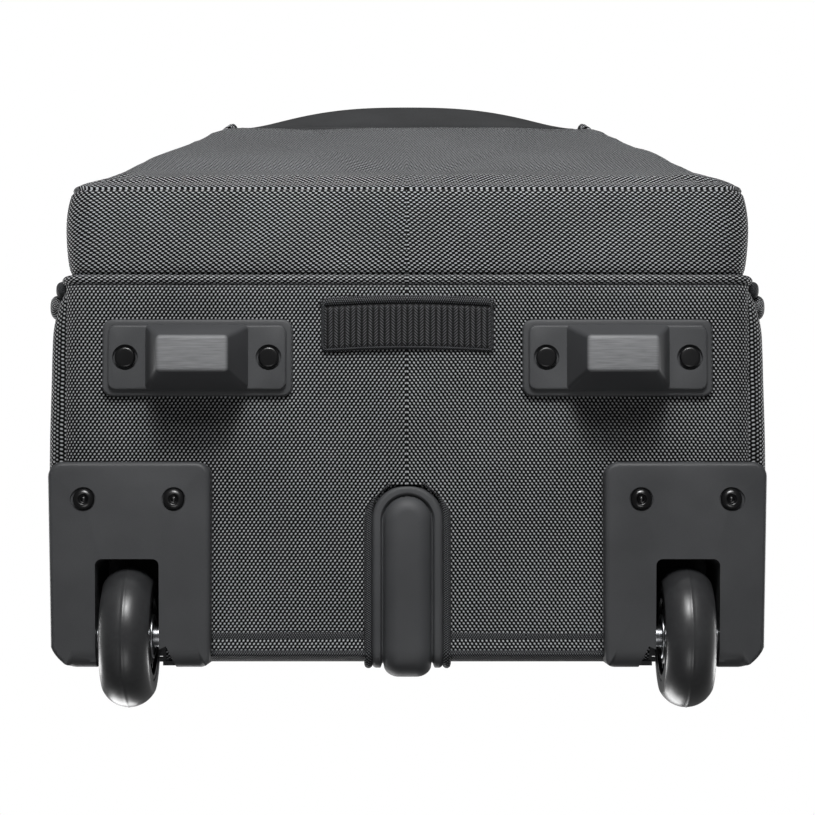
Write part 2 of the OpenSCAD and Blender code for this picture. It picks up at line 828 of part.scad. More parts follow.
module panel_lips() color(fabric) both_sides() difference() {
    translate([lip_x, y_field - lip_d / 2 + 1, z_field_mid])
        cylinder(d = lip_d, h = smooth_h - 12, center = true);
    block([lip_x - lip_d, y_field, field_low], [lip_x + lip_d, y_field + lip_d, field_low + field_h]);
}

// ---- zip sliders ----

// A slider on top of a zip band at the height z, with its end nearest the middle at x0.
module slider(x0, y, z) difference() {
    union() {
        block(
            [x0 - slider_l, y - slider_w / 2, z + move_gap],
            [x0, y + slider_w / 2, z + move_gap + slider_h]
        );
        block([x0 - slider_l, y - 0.8, z - 1], [x0, y + 0.8, z + 1]);
        for (s = [-1, 1]) block(
            [x0 - slider_l / 2 - 2, y + s * ear_y - ear_t / 2, z + move_gap],
            [x0 - slider_l / 2 + 2, y + s * ear_y + ear_t / 2, z + move_gap + slider_h + ear_h]
        );
    }
    translate([x0 - slider_l / 2, y, puller_z(z)]) rotate([90, 0, 0])
        cylinder(d = puller_pin_d + 2 * pin_gap, h = slider_w + 2, center = true);
}

function puller_z(z) = z + move_gap + slider_h + ear_h / 2;

module puller(x0, y, z) {
    hinge_x = x0 - slider_l / 2;
    translate([hinge_x, y, puller_z(z)]) rotate([90, 0, 0])
        cylinder(d = puller_pin_d, h = 7.4, center = true);
    difference() {
        block([hinge_x - puller_l, y - 2.4, puller_z(z) - 0.8], [hinge_x, y + 2.4, puller_z(z) + 0.8]);
        translate([hinge_x - puller_l + 4, y, z]) cylinder(d = 2.4, h = 20);
    }
}

module main_slider_left() color(metal) slider(slider_start, main_zip_y, main_zip_z);
module main_puller_left() color(hard_plastic) puller(slider_start, main_zip_y, main_zip_z);
module main_slider_right() color(metal) mirror([1, 0, 0])
    slider(slider_start, main_zip_y, main_zip_z);
module main_puller_right() color(hard_plastic) mirror([1, 0, 0])
    puller(slider_start, main_zip_y, main_zip_z);
module pocket_slider_left() color(metal) slider(slider_start, pocket_zip_y, pocket_zip_z);
module pocket_puller_left() color(hard_plastic) puller(slider_start, pocket_zip_y, pocket_zip_z);
module pocket_slider_right() color(metal) mirror([1, 0, 0])
    slider(slider_start, pocket_zip_y, pocket_zip_z);
module pocket_puller_right() color(hard_plastic) mirror([1, 0, 0])
    puller(slider_start, pocket_zip_y, pocket_zip_z);

// ---- inside ----

module back_board() color(hard_plastic) difference() {
    block(
        [-board_half, board_y0, z_tray + fit_gap],
        [board_half, board_y0 + board_t, z_high - panel_t - fit_gap]
    );
    both_sides() well_space(fit_gap);
}

module laptop_sleeve() color(lining) difference() {
    block(
        [-laptop_w / 2 - sleeve_wall, sleeve_y0, sleeve_z0],
        [laptop_w / 2 + sleeve_wall, board_y0 - fit_gap, sleeve_z0 + sleeve_h]
    );
    block([-laptop_w / 2, sleeve_y0 + sleeve_t, sleeve_z0 + 4], [laptop_w / 2, board_y0 + 1, z_high]);
}

bottom_panel();
side_panel_left();
side_panel_right();
top_panel();
back_panel();
base_tray();
frame_hoop();
rear_piping();
main_zip();
zip_garages();
wheel_housing_left();
wheel_housing_right();
housing_screws();
axles();
axle_spacers();
foot_left();
foot_right();
foot_rivets();
skid_guard();
skid_welt();
grab_strap();
grab_strap_binding();
outer_tubes();
tube_sockets();
handle_dock();
back_board();
laptop_sleeve();
handle_anchors();
tyre_left();
hub_left();
bearings_left();
tyre_right();
hub_right();
bearings_right();
mid_tubes();
inner_tubes();
grip_base();
grip_shell();
release_button();
push_rods();
carry_handle();
gusset_bottom();
gusset_left();
gusset_right();
gusset_top();
cover_panel();
cover_roll();
organiser_pocket();
pocket_zip();
front_panel();
smooth_panel();
panel_lips();
main_slider_left();
main_puller_left();
main_slider_right();
main_puller_right();
pocket_slider_left();
pocket_puller_left();
pocket_slider_right();
pocket_puller_right();
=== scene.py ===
"""A two-wheeled rolling laptop case: sewn ballistic-nylon body, moulded corner housings, bridge feet and pull handle.

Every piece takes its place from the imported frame's boxes. Lengths in the making functions are millimetres, and
`metres` turns them into Blender's unit when a point is placed.
"""
import math

import bmesh
import bpy
from mathutils import Matrix, Vector, noise


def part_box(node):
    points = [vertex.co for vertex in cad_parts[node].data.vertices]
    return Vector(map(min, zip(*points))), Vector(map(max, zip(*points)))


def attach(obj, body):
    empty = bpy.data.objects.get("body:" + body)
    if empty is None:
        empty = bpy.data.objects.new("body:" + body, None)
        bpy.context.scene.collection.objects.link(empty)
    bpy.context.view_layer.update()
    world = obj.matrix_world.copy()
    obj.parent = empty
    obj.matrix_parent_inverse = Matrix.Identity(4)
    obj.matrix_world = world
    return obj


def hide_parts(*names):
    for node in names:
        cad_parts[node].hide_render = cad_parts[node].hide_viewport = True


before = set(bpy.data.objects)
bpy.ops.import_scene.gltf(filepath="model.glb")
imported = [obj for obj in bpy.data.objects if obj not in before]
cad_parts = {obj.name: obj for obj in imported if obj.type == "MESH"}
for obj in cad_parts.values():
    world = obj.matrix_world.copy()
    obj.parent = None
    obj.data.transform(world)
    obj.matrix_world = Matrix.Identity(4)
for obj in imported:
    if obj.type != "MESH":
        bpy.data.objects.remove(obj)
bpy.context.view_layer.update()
MM = 0.001


# ---------------------------------------------------------------- places taken from the frame, in millimetres

def box_mm(node):
    low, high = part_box(node)
    return low / MM, high / MM


shell_low, shell_high = box_mm("back_panel")
bottom_low, bottom_high = box_mm("bottom_panel")
half_w = shell_high.x
z_low, z_high = shell_low.z, shell_high.z
z_mid = (z_low + z_high) / 2
y_back = shell_high.y
y_seam = bottom_low.y
edge_r = 14
pocket_low, pocket_high = box_mm("gusset_bottom")
pocket_half = pocket_high.x
y_pocket = pocket_low.y
z_pocket = pocket_low.z
z_pocket_top = box_mm("gusset_top")[1].z
flap_low, flap_high = box_mm("front_panel")
y_field = flap_low.y
smooth_low, smooth_high = box_mm("smooth_panel")
lip_low, lip_high = box_mm("panel_lips")
tyre_low, tyre_high = box_mm("tyre_right")
wheel_mid = (tyre_low + tyre_high) / 2
wheel_r = (tyre_high.z - tyre_low.z) / 2
housing_low, housing_high = box_mm("wheel_housing_right")
foot_low, foot_high = box_mm("foot_right")
strap_low, strap_high = box_mm("grab_strap_binding")
guard_low, guard_high = box_mm("skid_guard")
# the wheel wells: half their width, the air round the tyre, and how much more of the cloth is cut away
well_half = 15.7
well_gap = 3.6
well_margin = 2.6


# ---------------------------------------------------------------- materials

def linear(hex_colour):
    """Turns an sRGB hex colour into linear RGBA."""
    parts = [int(hex_colour[i:i + 2], 16) / 255 for i in (1, 3, 5)]
    return tuple(c / 12.92 if c <= 0.04045 else ((c + 0.055) / 1.055) ** 2.4 for c in parts) + (1.0,)


def add(mat, kind, inputs=None, stops=(), **settings):
    """Adds one shader node. An input takes a value, a socket, or a node whose first output is linked to it.

    stops are a colour ramp's (position, hex colour) pairs.
    """
    node = mat.node_tree.nodes.new(kind)
    for key, value in settings.items():
        setattr(node, key, value)
    for key, value in (inputs or {}).items():
        if isinstance(value, bpy.types.Node):
            value = value.outputs[0]
        if isinstance(value, bpy.types.NodeSocket):
            mat.node_tree.links.new(value, node.inputs[key])
        else:
            node.inputs[key].default_value = value
    for number, (position, colour) in enumerate(stops):
        elements = node.color_ramp.elements
        element = elements[number] if number < len(elements) else elements.new(position)
        element.position = position
        element.color = linear(colour)
    return node


def new_material(name, roughness, **sockets):
    """A material with a Principled shader whose constant values sit on the shader's own sockets."""
    mat = bpy.data.materials.new(name)
    mat.use_nodes = True
    shader = mat.node_tree.nodes["Principled BSDF"]
    shader.inputs["Roughness"].default_value = roughness
    for key, value in sockets.items():
        shader.inputs[key.replace("_", " ")].default_value = value
    return mat, shader


def link(mat, node, shader, socket):
    mat.node_tree.links.new(node.outputs[0], shader.inputs[socket])


def woven(
    name, cell_u, cell_v, gap_shade, middle, light, depth=0.2, sheen=0.02, roughness=0.45, lean=(1.0, 0.6), skew=0.0,
):
    """Plain weave seen as staggered yarn crowns: the ramp paints a highlight on each crown and shade into each gap
    between yarns.

    cell_u and cell_v are the yarn spacings in millimetres, read along the piece's own UV map, which is in metres.
    lean weighs the two diagonals that the crowns join up into. They swap over at the piece's middle line.
    """
    mat, shader = new_material(
        name, roughness, Sheen_Weight=sheen, Sheen_Roughness=0.4, IOR=1.53, Specular_IOR_Level=0.22,
    )
    maths = "ShaderNodeMath"
    uv = add(mat, "ShaderNodeTexCoord").outputs["UV"]
    wobble = add(mat, "ShaderNodeTexNoise", {"Vector": uv, "Scale": 90.0, "Detail": 2.0}).outputs["Color"]
    shifted = add(mat, "ShaderNodeVectorMath", {0: wobble, 1: (0.0008, 0.0008, 0.0)}, operation="MULTIPLY")
    place = add(mat, "ShaderNodeVectorMath", {0: uv, 1: shifted}, operation="ADD")
    axes = add(mat, "ShaderNodeSeparateXYZ", {0: place})
    from_middle = add(mat, maths, {0: axes.outputs[0]}, operation="ABSOLUTE")
    skewed = add(mat, maths, {0: axes.outputs[1], 1: skew, 2: from_middle}, operation="MULTIPLY_ADD")
    a = add(mat, maths, {0: skewed, 1: -math.pi / (cell_u * MM)}, operation="MULTIPLY")
    b = add(mat, maths, {0: axes.outputs[1], 1: math.pi / (cell_v * MM)}, operation="MULTIPLY")
    rising = add(mat, maths, {0: add(mat, maths, {0: a, 1: b}, operation="ADD")}, operation="COSINE")
    falling = add(mat, maths, {0: add(mat, maths, {0: a, 1: b}, operation="SUBTRACT")}, operation="COSINE")
    total = lean[0] + lean[1]
    crown = add(mat, maths, {0: rising, 1: -0.4 * lean[0] / total, 2: 0.4}, operation="MULTIPLY_ADD")
    crown = add(mat, maths, {0: falling, 1: 0.4 * lean[1] / total, 2: crown}, operation="MULTIPLY_ADD")
    row = add(mat, maths, {0: add(mat, maths, {0: b}, operation="SINE")}, operation="ABSOLUTE")
    row = add(mat, maths, {0: row, 1: 0.5, 2: 0.5}, operation="MULTIPLY_ADD")
    crown = add(mat, maths, {0: crown, 1: row}, operation="MULTIPLY")
    yarn = add(mat, "ShaderNodeTexNoise", {"Vector": uv, "Scale": 900.0, "Detail": 1.0})
    patches = add(mat, "ShaderNodeTexNoise", {"Vector": uv, "Scale": 14.0, "Detail": 3.0})
    height = add(mat, maths, {0: yarn, 1: 0.2, 2: crown}, operation="MULTIPLY_ADD")
    tone = add(mat, maths, {0: patches, 1: 0.12, 2: height}, operation="MULTIPLY_ADD")
    # painted highlight and painted shade: the crowns get a pale colour and the gaps between yarns a near-black one
    colour = add(mat, "ShaderNodeValToRGB", {0: tone}, [(0.36, gap_shade), (0.78, light), (0.5, middle)])
    link(mat, colour, shader, "Base Color")
    dull = add(mat, "ShaderNodeMapRange", {"Value": height, 1: 0.36, 2: 0.7, 3: 0.9, 4: roughness})
    link(mat, dull, shader, "Roughness")
    bump = add(mat, "ShaderNodeBump", {"Height": height, "Distance": depth * MM, "Strength": 0.8})
    link(mat, bump, shader, "Normal")
    return mat


def moulded(name, low, high, roughness, grain_mm, depth, **sockets):
    """Moulded plastic or rubber: a fine spark-eroded grain breaks up the light, and wide patches vary its tone."""
    mat, shader = new_material(name, roughness, IOR=1.5, **sockets)
    place = add(mat, "ShaderNodeTexCoord").outputs["Object"]
    grain = add(mat, "ShaderNodeTexNoise", {"Vector": place, "Scale": 1 / (grain_mm * MM), "Detail": 2.0})
    patches = add(mat, "ShaderNodeTexNoise", {"Vector": place, "Scale": 24.0, "Detail": 4.0})
    tone = add(mat, "ShaderNodeMath", {0: grain, 1: 0.45, 2: patches}, operation="MULTIPLY_ADD")
    link(mat, add(mat, "ShaderNodeValToRGB", {0: tone}, [(0.5, low), (0.95, high)]), shader, "Base Color")
    wear = {"Value": patches, 1: 0.3, 2: 0.7, 3: roughness - 0.06, 4: roughness + 0.08}
    link(mat, add(mat, "ShaderNodeMapRange", wear), shader, "Roughness")
    bump = add(mat, "ShaderNodeBump", {"Height": grain, "Distance": depth * MM, "Strength": 0.6})
    link(mat, bump, shader, "Normal")
    return mat


def foot_with_painted_highlight(name):
    """The housings' plastic, with a pale, streaky painted highlight on the face that stands on the ground."""
    mat = moulded(name, "#444547", "#505153", 0.5, 0.45, 0.05, Specular_IOR_Level=0.4)
    shader = mat.node_tree.nodes["Principled BSDF"]
    plain = shader.inputs["Base Color"].links[0].from_socket
    place = add(mat, "ShaderNodeTexCoord").outputs["Object"]
    level = add(mat, "ShaderNodeSeparateXYZ", {0: place}).outputs["Z"]
    streaks = add(mat, "ShaderNodeMapping", {"Vector": place, "Scale": (90, 1400, 90)})
    lines = add(mat, "ShaderNodeTexNoise", {"Vector": streaks, "Scale": 1.0, "Detail": 4.0})
    # painted highlight: the face nearest the ground gets a pale, streaky colour
    painted_highlight = add(mat, "ShaderNodeValToRGB", {0: lines}, [(0.3, "#77787a"), (0.7, "#8f9092")])
    near_ground = add(mat, "ShaderNodeMapRange", {"Value": level, 1: 0.2 * MM, 2: 1.4 * MM, 3: 1.0, 4: 0.0})
    mixed = add(mat, "ShaderNodeMix", {0: near_ground, 6: plain, 7: painted_highlight}, data_type="RGBA")
    mat.node_tree.links.new(mixed.outputs[2], shader.inputs["Base Color"])
    return mat


def metal(name, low, high, roughness, stretch):
    """Drawn or turned metal: fine scratches run along one axis, so its gloss is streaked."""
    mat, shader = new_material(name, roughness, Metallic=1.0)
    place = add(mat, "ShaderNodeTexCoord").outputs["Object"]
    turned = add(mat, "ShaderNodeMapping", {"Vector": place, "Scale": stretch})
    lines = add(mat, "ShaderNodeTexNoise", {"Vector": turned, "Scale": 1.0, "Detail": 3.0})
    link(mat, add(mat, "ShaderNodeValToRGB", {0: lines}, [(0.3, low), (0.7, high)]), shader, "Base Color")
    spread = add(mat, "ShaderNodeMapRange", {"Value": lines, 3: roughness - 0.08, 4: roughness + 0.1})
    link(mat, spread, shader, "Roughness")
    return mat


def grained_skin(name):
    """Coated soft-touch skin: small pebbles with painted shade in the creases between them and a low, even gloss."""
    mat, shader = new_material(name, 0.6, IOR=1.5, Specular_IOR_Level=0.3)
    uv = add(mat, "ShaderNodeTexCoord").outputs["UV"]
    pebbles = add(mat, "ShaderNodeTexVoronoi", {"Vector": uv, "Scale": 900.0}, feature="DISTANCE_TO_EDGE")
    cloud = add(mat, "ShaderNodeTexNoise", {"Vector": uv, "Scale": 30.0, "Detail": 4.0})
    crease = add(mat, "ShaderNodeMath", {0: pebbles, 1: 0.18}, operation="MINIMUM")
    # painted shade: the creases between pebbles are coloured darker
    tone = add(mat, "ShaderNodeMath", {0: crease, 1: 1.6, 2: cloud}, operation="MULTIPLY_ADD")
    link(mat, add(mat, "ShaderNodeValToRGB", {0: tone}, [(0.35, "#28292a"), (0.9, "#38393b")]), shader, "Base Color")
    bump = add(mat, "ShaderNodeBump", {"Height": crease, "Distance": 0.12 * MM, "Strength": 0.5})
    link(mat, bump, shader, "Normal")
    return mat


def ribbed_webbing(name):
    """Heavy webbing woven in upright ribs, each a column of slanted yarns that lean the other way from the next."""
    mat, shader = new_material(name, 0.55, IOR=1.53, Sheen_Weight=0.05, Specular_IOR_Level=0.25)
    maths = "ShaderNodeMath"
    uv = add(mat, "ShaderNodeTexCoord").outputs["UV"]
    axes = add(mat, "ShaderNodeSeparateXYZ", {0: uv})
    zigzag = add(mat, maths, {0: axes.outputs[0], 1: 2.85 * MM}, operation="PINGPONG")
    slanted = add(mat, maths, {0: axes.outputs[1], 1: zigzag}, operation="ADD")
    slanted = add(mat, maths, {0: slanted, 1: 2 * math.pi / (1.5 * MM)}, operation="MULTIPLY")
    yarns = add(mat, maths, {0: slanted}, operation="SINE")
    column = add(mat, maths, {0: axes.outputs[0], 1: math.pi / (2.85 * MM)}, operation="MULTIPLY")
    column = add(mat, maths, {0: add(mat, maths, {0: column}, operation="SINE")}, operation="ABSOLUTE")
    gap = add(mat, maths, {0: column, 1: 0.5}, operation="POWER")
    raised = add(mat, maths, {0: yarns, 1: 0.4, 2: 0.55}, operation="MULTIPLY_ADD")
    height = add(mat, maths, {0: gap, 1: raised}, operation="MULTIPLY")
    # painted highlight on the raised yarns and painted shade in the gaps between the ribs
    colour = add(mat, "ShaderNodeValToRGB", {0: height}, [(0.15, "#020202"), (0.9, "#67686b"), (0.5, "#1b1c1e")])
    link(mat, colour, shader, "Base Color")
    bump = add(mat, "ShaderNodeBump", {"Height": height, "Distance": 0.4 * MM, "Strength": 0.8})
    link(mat, bump, shader, "Normal")
    return mat


# ballistic nylon, woven from thick shiny yarn: painted highlights on the crowns and painted shade in the gaps, 1680
# denier
nylon = woven("ballistic_nylon", 1.035, 1.48, "#000000", "#0d0d0e", "#b4b6b9")
# the same cloth cut across, so its yarns run the other way and lean a little
nylon_turned = woven("ballistic_nylon_turned", 1.48, 1.02, "#010101", "#1c1d1f", "#c8cacd", lean=(1.0, 0.8), skew=0.2)
# polyester binding tape: a fine dull grosgrain
tape = woven("binding_tape", 0.6, 0.9, "#111112", "#333436", "#66686b", depth=0.12)
# polyamide webbing: the same fine rib as the tape, but black and denser
strap_tape = woven("black_webbing", 0.8, 1.1, "#070708", "#1c1d1e", "#3a3b3d", depth=0.15)
# polyester lining: fine, smooth and light grey, so that the inside is easy to see into
lining_cloth = woven("grey_lining", 0.5, 0.5, "#565a60", "#868a91", "#abafb6", depth=0.08, roughness=0.55)
# nylon webbing: upright ribs with a herringbone of slanted yarns
strap_webbing = ribbed_webbing("ribbed_webbing")
# nylon coil zip: close round teeth on a narrow tape
zip_coil = woven("zip_coil", 0.8, 6.0, "#050506", "#1b1c1d", "#47484a", depth=0.3, roughness=0.4)
# polyurethane-coated cloth: soft pebbles and a low gloss
skin = grained_skin("soft_touch_skin")
# ABS moulded in a spark-eroded tool: an even, fine matt grain
abs_grey = moulded("spark_grained_abs", "#414244", "#4c4d4f", 0.5, 0.45, 0.05, Specular_IOR_Level=0.4)
# the feet's plastic, with a painted highlight on the face that stands on the ground
foot_abs = foot_with_painted_highlight("abs_with_painted_highlight")
# black ABS for parts that carry the tubes
abs_black = moulded("black_abs", "#151516", "#222324", 0.45, 0.4, 0.04)
# thermoplastic rubber moulded over the grip and the pullers: dull and slightly pitted
grip_rubber = moulded("soft_touch_rubber", "#141415", "#1f1f20", 0.6, 0.3, 0.03)
# painted ABS: a smooth satin grey
button_grey = moulded("satin_button", "#4c4e51", "#5b5d60", 0.35, 0.4, 0.02)
# glass-filled nylon hub: dark, with a faint mottle
hub_nylon = moulded("hub_nylon", "#0e0e0f", "#1b1b1c", 0.4, 0.5, 0.03)
# cast polyurethane: dense, dark and glossy like a skate wheel
polyurethane = moulded(
    "cast_polyurethane", "#2c2c2e", "#3a3b3c", 0.38, 2.5, 0.01, Coat_Weight=0.5, Coat_Roughness=0.25,
)
# black oxide on steel: nearly black with a broad, oily gloss
oxide_black = moulded("black_oxide_steel", "#050506", "#0c0c0e", 0.3, 0.8, 0.01, Coat_Weight=0.4, Coat_Roughness=0.14)
# zinc-plated steel, turned: bright with rings of fine marks
zinc = metal("zinc_plated_steel", "#8d8f92", "#c9cbce", 0.3, (2500, 200, 200))
# anodised aluminium, drawn: satin, with lines along the tube
anodised = metal("anodised_tube", "#6f7276", "#8f9296", 0.38, (2500, 2500, 60))
# black nickel on die-cast zinc: a dark, smoky metal
gunmetal = metal("black_nickel_zinc", "#1d1d1f", "#3a3b3d", 0.32, (600, 600, 600))


# ---------------------------------------------------------------- making and finishing pieces

def point(x, y, z):
    return Vector((x, y, z)) * MM


def finish_piece(name, bm, body, material, replaced=(), smooth=True):
    """Turns a bmesh into a piece that rides on a body and stands for some CAD nodes."""
    mesh = bpy.data.meshes.new(name)
    bm.to_mesh(mesh)
    bm.free()
    mesh.materials.append(material)
    if smooth:
        mesh.shade_smooth()
    piece = bpy.data.objects.new(name, mesh)
    bpy.context.scene.collection.objects.link(piece)
    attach(piece, body)
    if replaced:
        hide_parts(*replaced)
    return piece


def with_modifier(piece, kind, **settings):
    modifier = piece.modifiers.new(kind.lower(), kind)
    for key, value in settings.items():
        setattr(modifier, key, value)
    return piece


def thick(piece, t, offset=-1):
    """Gives a sheet its thickness behind its outer face."""
    return with_modifier(piece, "SOLIDIFY", thickness=t * MM, offset=offset, use_even_offset=False)


def rounded_edges(piece, width, segments=3, angle=35):
    """Rounds a moulding's edges."""
    return with_modifier(
        piece, "BEVEL", width=width * MM, segments=segments, limit_method="ANGLE",
        angle_limit=math.radians(angle), harden_normals=True, use_clamp_overlap=True,
    )


def outwards(bm, inside):
    """Turns the faces of a sheet away from a point inside it."""
    bm.normal_update()
    total = sum((f.calc_center_median() - inside).dot(f.normal) * f.calc_area() for f in bm.faces)
    if total < 0:
        bmesh.ops.reverse_faces(bm, faces=bm.faces)


def sheet_mesh(across, along, place, size, closed=False, inside=None):
    """A grid bent by place(s, t), which gives millimetres, with a UV map in metres from the sheet's middle line.

    size is the flat sheet's (width, length) in millimetres. A closed sheet starts and ends on its middle line.
    """
    bm = bmesh.new()
    bmesh.ops.create_grid(bm, x_segments=across, y_segments=along, size=0.5)
    uv = bm.loops.layers.uv.new("UVMap")
    for face in bm.faces:
        start = (1 if face.calc_center_median().x > 0 else 0) if closed else 0.5
        for loop in face.loops:
            s, t = loop.vert.co.x + 0.5, loop.vert.co.y + 0.5
            loop[uv].uv = ((s - start) * size[0] * MM, t * size[1] * MM)
    for vert in bm.verts:
        vert.co = point(*place(vert.co.x + 0.5, vert.co.y + 0.5))
    if closed:
        bmesh.ops.remove_doubles(bm, verts=bm.verts, dist=0.02 * MM)
    outwards(bm, inside or point(0, (y_seam + y_back) / 2, z_mid))
    return bm


def smooth_step(x):
    x = min(1, max(0, x))
    return x * x * (3 - 2 * x)


def round_rise(share):
    """A quarter circle's height, from 0 at share 0 to 1 at share 1."""
    return math.sqrt(max(0, 1 - (1 - min(1, share)) ** 2))


def softness(x, y, z, size, amount):
    """A soft random swelling, size millimetres wide."""
    return amount * noise.noise(Vector((x, y, z)) / size)


def outline_point(s, w, h, r):
    """A point and the outward direction at the share s of the way round a rounded outline, from the bottom middle."""
    straight_w, straight_h, arc = w - 2 * r, h - 2 * r, math.pi * r / 2
    total = 2 * straight_w + 2 * straight_h + 4 * arc
    d = (s % 1.0) * total
    for length, kind in (
        (straight_w / 2, "bottom_right"), (arc, 0), (straight_h, "right"), (arc, 1), (straight_w, "top"),
        (arc, 2), (straight_h, "left"), (arc, 3), (straight_w / 2 + 1e-6, "bottom_left"),
    ):
        if d <= length:
            break
        d -= length
    if kind == "bottom_right":
        return d, -h / 2, 0, -1
    if kind == "bottom_left":
        return -straight_w / 2 + d, -h / 2, 0, -1
    if kind == "right":
        return w / 2, -straight_h / 2 + d, 1, 0
    if kind == "left":
        return -w / 2, straight_h / 2 - d, -1, 0
    if kind == "top":
        return straight_w / 2 - d, h / 2, 0, 1
    angle = -math.pi / 2 + kind * math.pi / 2 + d / r
    cx = straight_w / 2 if kind in (0, 1) else -straight_w / 2
    cz = straight_h / 2 if kind in (1, 2) else -straight_h / 2
    return cx + r * math.cos(angle), cz + r * math.sin(angle), math.cos(angle), math.sin(angle)


def outline_length(w, h, r):
    return 2 * (w + h) - 8 * r + 2 * math.pi * r


def cloth_settle(piece, pins, grow, pressure, cap, frames=14):
    """Lets a sewn panel settle as cloth that is cut a little too large, held where pins(co) is 1."""
    group = piece.vertex_groups.new(name="held")
    start = [v.co.copy() for v in piece.data.vertices]
    for v in piece.data.vertices:
        group.add([v.index], pins(v.co / MM), "REPLACE")
    modifier = piece.modifiers.new("settle", "CLOTH")
    settings = modifier.settings
    settings.quality = 6
    settings.mass = 0.4
    settings.tension_stiffness = 25
    settings.compression_stiffness = 25
    settings.shear_stiffness = 12
    settings.bending_stiffness = 6
    settings.vertex_group_mass = "held"
    settings.shrink_min = -grow
    settings.use_pressure = True
    settings.uniform_pressure_force = pressure
    settings.effector_weights.gravity = 0.3
    modifier.collision_settings.use_collision = False
    scene = bpy.context.scene
    for number in range(1, frames + 1):
        scene.frame_set(number)
    settled = piece.evaluated_get(bpy.context.evaluated_depsgraph_get())
    moved = [v.co.copy() for v in settled.data.vertices]
    piece.modifiers.remove(modifier)
    for v, old, new in zip(piece.data.vertices, start, moved):
        step = new - old
        if step.length > cap * MM:
            step *= cap * MM / step.length
        v.co = old + step
    piece.vertex_groups.remove(group)
    scene.frame_set(1)
    return piece


# ---------------------------------------------------------------- the sewn shell of the main compartment

seam_angle = math.asin((bottom_high.x - (half_w - edge_r)) / edge_r)
flat_half = half_w - edge_r
panel_half = flat_half + edge_r * seam_angle
back_bend = 12


def across_panel(s):
    """x and rise of the bottom or top panel at the share s of its width, round the long edges to the side seams."""
    a = (s - 0.5) * 2 * panel_half
    if abs(a) <= flat_half:
        return a, 0
    turn = (abs(a) - flat_half) / edge_r
    return math.copysign(flat_half + edge_r * math.sin(turn), a), edge_r * (1 - math.cos(turn))


def near_edge(s, t, width, length, reach):
    """How close a point of a sheet is to the sheet's edge: 1 on the edge and 0 at reach millimetres from it."""
    d = min(s * width, (1 - s) * width, t * length, (1 - t) * length)
    return 1 - smooth_step(d / reach)


def round_corners(x, z, half_x, middle_z, half_z, r):
    """Moves a point of a rectangular grid so that the rectangle's corners are rounded to radius r."""
    u = max(0, abs(x) - (half_x - r)) / r
    v = max(0, abs(z - middle_z) - (half_z - r)) / r
    if u > 0 and v > 0:
        shrink = max(u, v) / math.hypot(u, v)
        x = math.copysign(half_x - r + u * shrink * r, x)
        z = middle_z + math.copysign(half_z - r + v * shrink * r, z - middle_z)
    return x, z


def cut_wells(bm, in_reach):
    """Cuts a panel away over both wheel wells, where in_reach(middle of the face) is true."""
    middles = [(f, f.calc_center_median() / MM) for f in bm.faces]
    half = well_half + well_margin
    wells = [f for f, middle in middles if abs(abs(middle.x) - wheel_mid.x) < half and in_reach(middle)]
    bmesh.ops.delete(bm, geom=wells, context="FACES")


def bottom_panel():
    run = y_back - y_seam - back_bend
    bend = math.radians(84)
    length = run + back_bend * bend
    size = (2 * panel_half, length)

    def place(s, t):
        x, rise = across_panel(s)
        b = t * length
        y = y_seam + min(b, run)
        if b > run:
            turn = (b - run) / back_bend
            y += back_bend * math.sin(turn)
            rise += back_bend * (1 - math.cos(turn))
        # the tray holds the cloth flat, and pull lines run from the feet to the skid guard
        pull = 0
        for side in (-1, 1):
            along = Vector((side * 62, 10)) - Vector((0, 62))
            across = Vector((x, y - y_seam - 43)) - Vector((0, 62 - 43))
            direction = along.normalized()
            pull += math.exp(-((across.x * direction.y - across.y * direction.x) / 13) ** 2)
        drape = 0.5 * pull * math.exp(-(x / 70) ** 2) + softness(x, y, 3, 55, 0.9)
        edge = near_edge(s, t, size[0], size[1], 4)
        return x, y, z_low + rise - drape * (1 - edge) + 1.3 * edge

    bm = sheet_mesh(170, 100, place, size)
    cut_wells(bm, lambda middle: middle.y > wheel_mid.y - wheel_r - well_gap - well_margin)
    piece = finish_piece("bottom_panel_cloth", bm, "case", nylon, ["bottom_panel"])
    thick(piece, 3)
    return piece


def top_panel():
    y0 = y_seam + 3
    run = y_back - 4 - y0
    size = (2 * panel_half, run)

    def place(s, t):
        x, rise = across_panel(s)
        y = y0 + t * run
        edge = near_edge(s, t, size[0], size[1], 5)
        swell = 1.6 * math.sin(math.pi * t) * (1 - (x / half_w) ** 2) + softness(x, y, 90, 50, 0.9)
        return x, y, z_high - rise + swell * (1 - edge) - 1.3 * edge

    bm = sheet_mesh(120, 70, place, size)
    tubes_low, tubes_high = box_mm("outer_tubes")
    holes = [
        f for f in bm.faces
        if tubes_low.y < f.calc_center_median().y / MM < tubes_high.y
        and abs(abs(f.calc_center_median().x / MM) - 65) < 13
    ]
    bmesh.ops.delete(bm, geom=holes, context="FACES")
    piece = finish_piece("top_panel_cloth", bm, "case", nylon, ["top_panel"])
    thick(piece, 3)
    return piece


